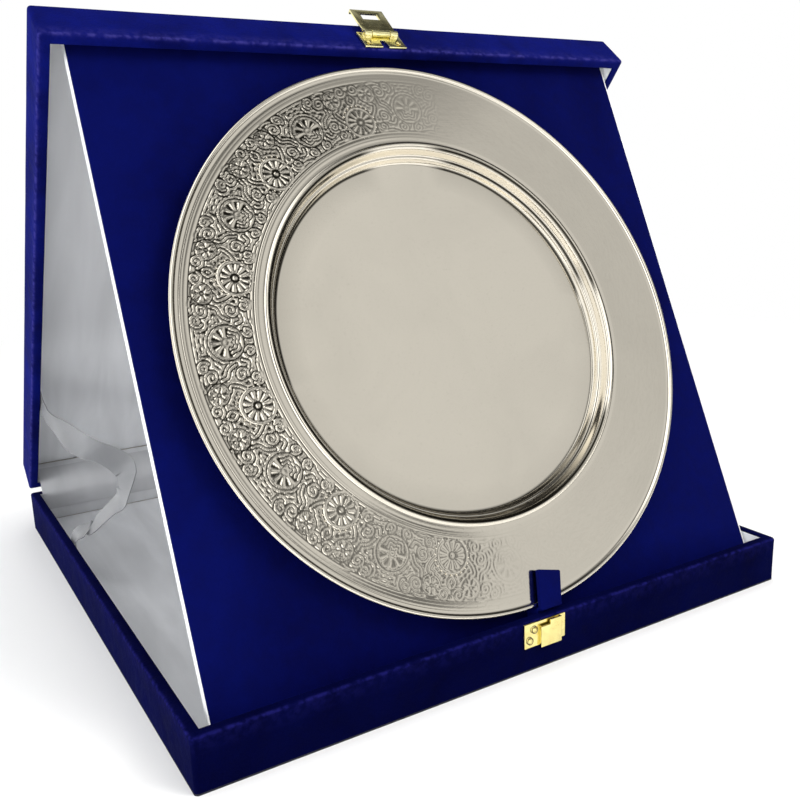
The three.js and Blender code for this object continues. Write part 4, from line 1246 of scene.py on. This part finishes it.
class MakeRibbons(bpy.types.Operator):
    """Two ribbon stays, and the tape that hinges the panel's foot"""
    bl_idname = "salver_case.ribbons"
    bl_label = "Ribbons and tape"

    def execute(self, context):
        for side, word in ((-1, "left"), (1, "right")):
            node = f"ribbon_stay_{word}"
            points, faces, length = ribbon_mesh(side)
            ribbon = new_piece(f"ribbon_{word}", points, faces, IN_BASE, MATERIALS["ribbon"], 60)
            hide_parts(node)
            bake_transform(ribbon)
        points, faces, length, edge = hinge_strip()
        strip = new_piece("hinge_satin", points, faces, IN_BASE, MATERIALS["satin"], 60)
        # Painted shade over the whole hinge strip.
        mark(strip, "dull_and_shade", [0.5] * len(strip.data.vertices))
        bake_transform(strip)

        mesh = frame["nodes"]["panel_hinge_tape"].data.copy()
        mesh.name = "hinge_tape"
        finish_mesh(mesh, MATERIALS["velvet_panel"], 50.0)
        tape = in_scene("hinge_tape", mesh)
        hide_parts("panel_hinge_tape")
        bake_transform(tape)
        return {"FINISHED"}


STRIP_HALF_WIDTH = 141.8
STRIP_THICK = 0.3


def hinge_strip():
    """Satin over the gap between the base's and the lid's rear walls, from wall to wall."""
    inner = CASE_DEPTH / 2 - RIM_WIDTH
    turn = Matrix.Rotation(-LID_OPEN, 3, "X")
    hinge = HINGE / MM

    def in_lid(depth, height):
        spot = turn @ Vector((0, -HINGE_SET_OUT - RIM_WIDTH - depth, height)) + hinge
        return (spot.y, spot.z)

    gap = 0.45
    low, rim = (inner - gap, 11.0), (inner - gap, BASE_HEIGHT - 1.5)
    lid_rim, top = in_lid(gap, 1.5), in_lid(gap, 10.0)
    slack = ((rim[0] + lid_rim[0]) / 2 - 0.6, (rim[1] + lid_rim[1]) / 2)
    path, headings, length = along_path([low, (low[0], 16.0), rim, slack, lid_rim, top], 6)
    ease = np.sin(np.pi * np.linspace(0, 1, len(path)))
    xs = np.linspace(-STRIP_HALF_WIDTH, STRIP_HALF_WIDTH, 120)
    sections = []
    for x, swell in zip(xs, np.abs(ripple(xs, xs * 0.0, 30.0, 41))):
        section = []
        for face in (-1, 1):
            for spot, along, share in zip(path, headings, ease):
                out = Vector((-along.y, along.x))
                y, z = spot + out * (face * STRIP_THICK / 2 + 0.35 * swell * share)
                section.append((x, y, z))
        sections.append(section)
    points, faces = sheet_solid(sections)
    return points, faces, length, (rim, lid_rim)


RIBBON_WIDTH = 12.0
RIBBON_THICK = 0.45
RIBBON_BASE_FROM_HINGE = 98.0
RIBBON_LID_FROM_HINGE = 84.0
RIBBON_BASE_TAIL = 14.0
RIBBON_LID_TAIL = 11.7
RIBBON_INWARD = 22.0
RIBBON_FORWARD = 64.0
# Shares of the way up, of the slack inward and forward, and of the turn to level across the case
RIBBON_SLACK = [
    (0.05, 0.06, 0.08, 0), (0.12, 0.27, 0.23, 0), (0.17, 0.41, 0.33, 0),
    (0.39, 0.73, 0.78, 0.1), (0.5, 0.86, 0.97, 0.25), (0.6, 1, 1, 0.4), (0.67, 1, 0.98, 0.5),
    (0.69, 0.86, 0.72, 0.55), (0.69, 0.64, 0.46, 0.5), (0.72, 0.45, 0.31, 0.4),
    (0.77, 0.27, 0.01, 0.2), (0.86, 0.09, -0.05, 0), (0.94, 0.02, -0.02, 0),
]


def ribbon_mesh(side):
    """A thin ribbon along its slack path, with a shallow curl across its width."""
    wall_x = side * (CASE_WIDTH / 2 - RIM_WIDTH - 0.6)
    hinge = HINGE / MM
    base_y = hinge.y - RIBBON_BASE_FROM_HINGE

    def in_lid(height):
        turned = Matrix.Rotation(-LID_OPEN, 3, "X") @ Vector((0, -RIBBON_LID_FROM_HINGE, height))
        return turned + hinge

    edge, end = in_lid(2.0), in_lid(RIBBON_LID_TAIL)
    rise = Vector((0, edge.y - base_y, edge.z - BASE_HEIGHT))
    back = Vector((0, 1, 0))
    along_lid = Vector((0, math.cos(LID_OPEN), -math.sin(LID_OPEN)))
    spots = [(Vector((wall_x, base_y, BASE_HEIGHT - RIBBON_BASE_TAIL)), back),
             (Vector((wall_x, base_y, BASE_HEIGHT - RIBBON_WIDTH / 4)), back)]
    in_case = Vector((side, 0, 0))
    for share, inward, forward, level in RIBBON_SLACK:
        at = Vector((wall_x - side * inward * RIBBON_INWARD,
                     base_y + rise.y * share - forward * RIBBON_FORWARD,
                     BASE_HEIGHT + rise.z * share))
        spots.append((at, back.lerp(along_lid, share).lerp(in_case, level).normalized()))
    spots += [(Vector((wall_x, edge.y, edge.z)), along_lid),
              (Vector((wall_x, end.y, end.z)), along_lid)]
    factor = 8
    path, headings, length = along_path([tuple(s[0]) for s in spots], factor)
    across = [Vector(p) for p in bent([tuple(s[1]) for s in spots], factor)]
    sections = []
    for at, along, wide in zip(path, headings, across):
        wide = (wide - along * wide.dot(along)).normalized()
        out = along.cross(wide)
        sections.append([at + wide * (share * RIBBON_WIDTH / 2)
                         + out * (face * RIBBON_THICK / 2 + 0.35 * (share * share - 0.4))
                         for face in (-1, 1) for share in np.linspace(-1, 1, 9)])
    points, faces = sheet_solid(sections)
    return points, faces, length


class MakeMetalwork(bpy.types.Operator):
    """Clasp and hinges with rounded edges, and rings round the nails' heads"""
    bl_idname = "salver_case.metalwork"
    bl_label = "Clasp and hinges"

    def execute(self, context):
        for node in ("catch_plate", "catch_hook", "hasp_plate", "hasp_flap"):
            brass = MATERIALS["hasp_brass" if node.startswith("hasp") else "brass"]
            softened(node, brass, 0.16)
        for node in ("catch_nail_1", "catch_nail_2"):
            low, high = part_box(node)
            spot = (low + high) / 2 / MM
            ring = nail_ring(f"{node}_ring", (spot.x, low.y / MM + 0.12, spot.z),
                             (high.x - low.x) / 2 / MM, MATERIALS["tarnish"])
            settle(ring, "base", "brass")
        for side in ("left", "right"):
            for part in ("base_leaf", "lid_leaf"):
                softened(f"hinge_{side}_{part}", MATERIALS["brass"], 0.12)
        return {"FINISHED"}


def nail_ring(name, centre, radius, material):
    """Dark tarnish that has gathered round a nail's head."""
    rings = []
    for turn in np.linspace(0, 2 * math.pi, 24, endpoint=False):
        ring = []
        for angle in np.linspace(0, 2 * math.pi, 8, endpoint=False):
            away = radius + 0.12 + 0.2 * math.cos(angle)
            ring.append((centre[0] + away * math.cos(turn), centre[1] + 0.1 * math.sin(angle),
                         centre[2] + away * math.sin(turn)))
        rings.append(ring)
    points, faces = loft(rings, closed_section=True)
    return new_piece(name, points, faces, IN_BASE, material, 60)


CARRIED = {"case_board": "board", "panel_card": "card", "underside_paper": "underside",
           "brass": "brass", "velvet": "velvet_base", "satin": "satin",
           "salver_metal": "silver"}


class DressCadNodes(bpy.types.Operator):
    """Procedural materials on the CAD nodes that stay as they are"""
    bl_idname = "salver_case.cad_nodes"
    bl_label = "Boards, pins and nails"

    def execute(self, context):
        slots = {s["node"]: s["material_slot"] for s in frame["record"]["subparts"]}
        for name, node in frame["nodes"].items():
            material = MATERIALS[CARRIED[slots[name]]]
            node.data.materials.clear()
            node.data.materials.append(material)
        return {"FINISHED"}


STEPS = [MakeStage, DressCadNodes, MakeVelvetCovers, MakeLinings, MakePanel, MakeSalver,
         MakeRibbons, MakeMetalwork]


class SalverPanel(bpy.types.Panel):
    """The pieces of the salver and its case"""
    bl_idname = "VIEW3D_PT_salver_case"
    bl_label = "Salver display case"
    bl_space_type = "VIEW_3D"
    bl_region_type = "UI"
    bl_category = "Salver"

    def draw(self, context):
        column = self.layout.column(align=True)
        for step in STEPS:
            column.operator(step.bl_idname)
        for group in (context.scene.salver_settings, context.scene.case_settings):
            box = self.layout.box()
            for key in group.__annotations__:
                box.prop(group, key)


CLASSES = [SalverSettings, CaseSettings, *STEPS, SalverPanel]


def register():
    for cls in CLASSES:
        bpy.utils.register_class(cls)
    bpy.types.Scene.salver_settings = PointerProperty(type=SalverSettings)
    bpy.types.Scene.case_settings = PointerProperty(type=CaseSettings)


def unregister():
    del bpy.types.Scene.case_settings
    del bpy.types.Scene.salver_settings
    for cls in reversed(CLASSES):
        bpy.utils.unregister_class(cls)


def main():
    register()
    make_materials()
    for step in STEPS:
        group, name = step.bl_idname.split(".")
        if getattr(getattr(bpy.ops, group), name)() != {"FINISHED"}:
            raise RuntimeError(f"{step.bl_label} did not finish")


if __name__ == "__main__":
    main()
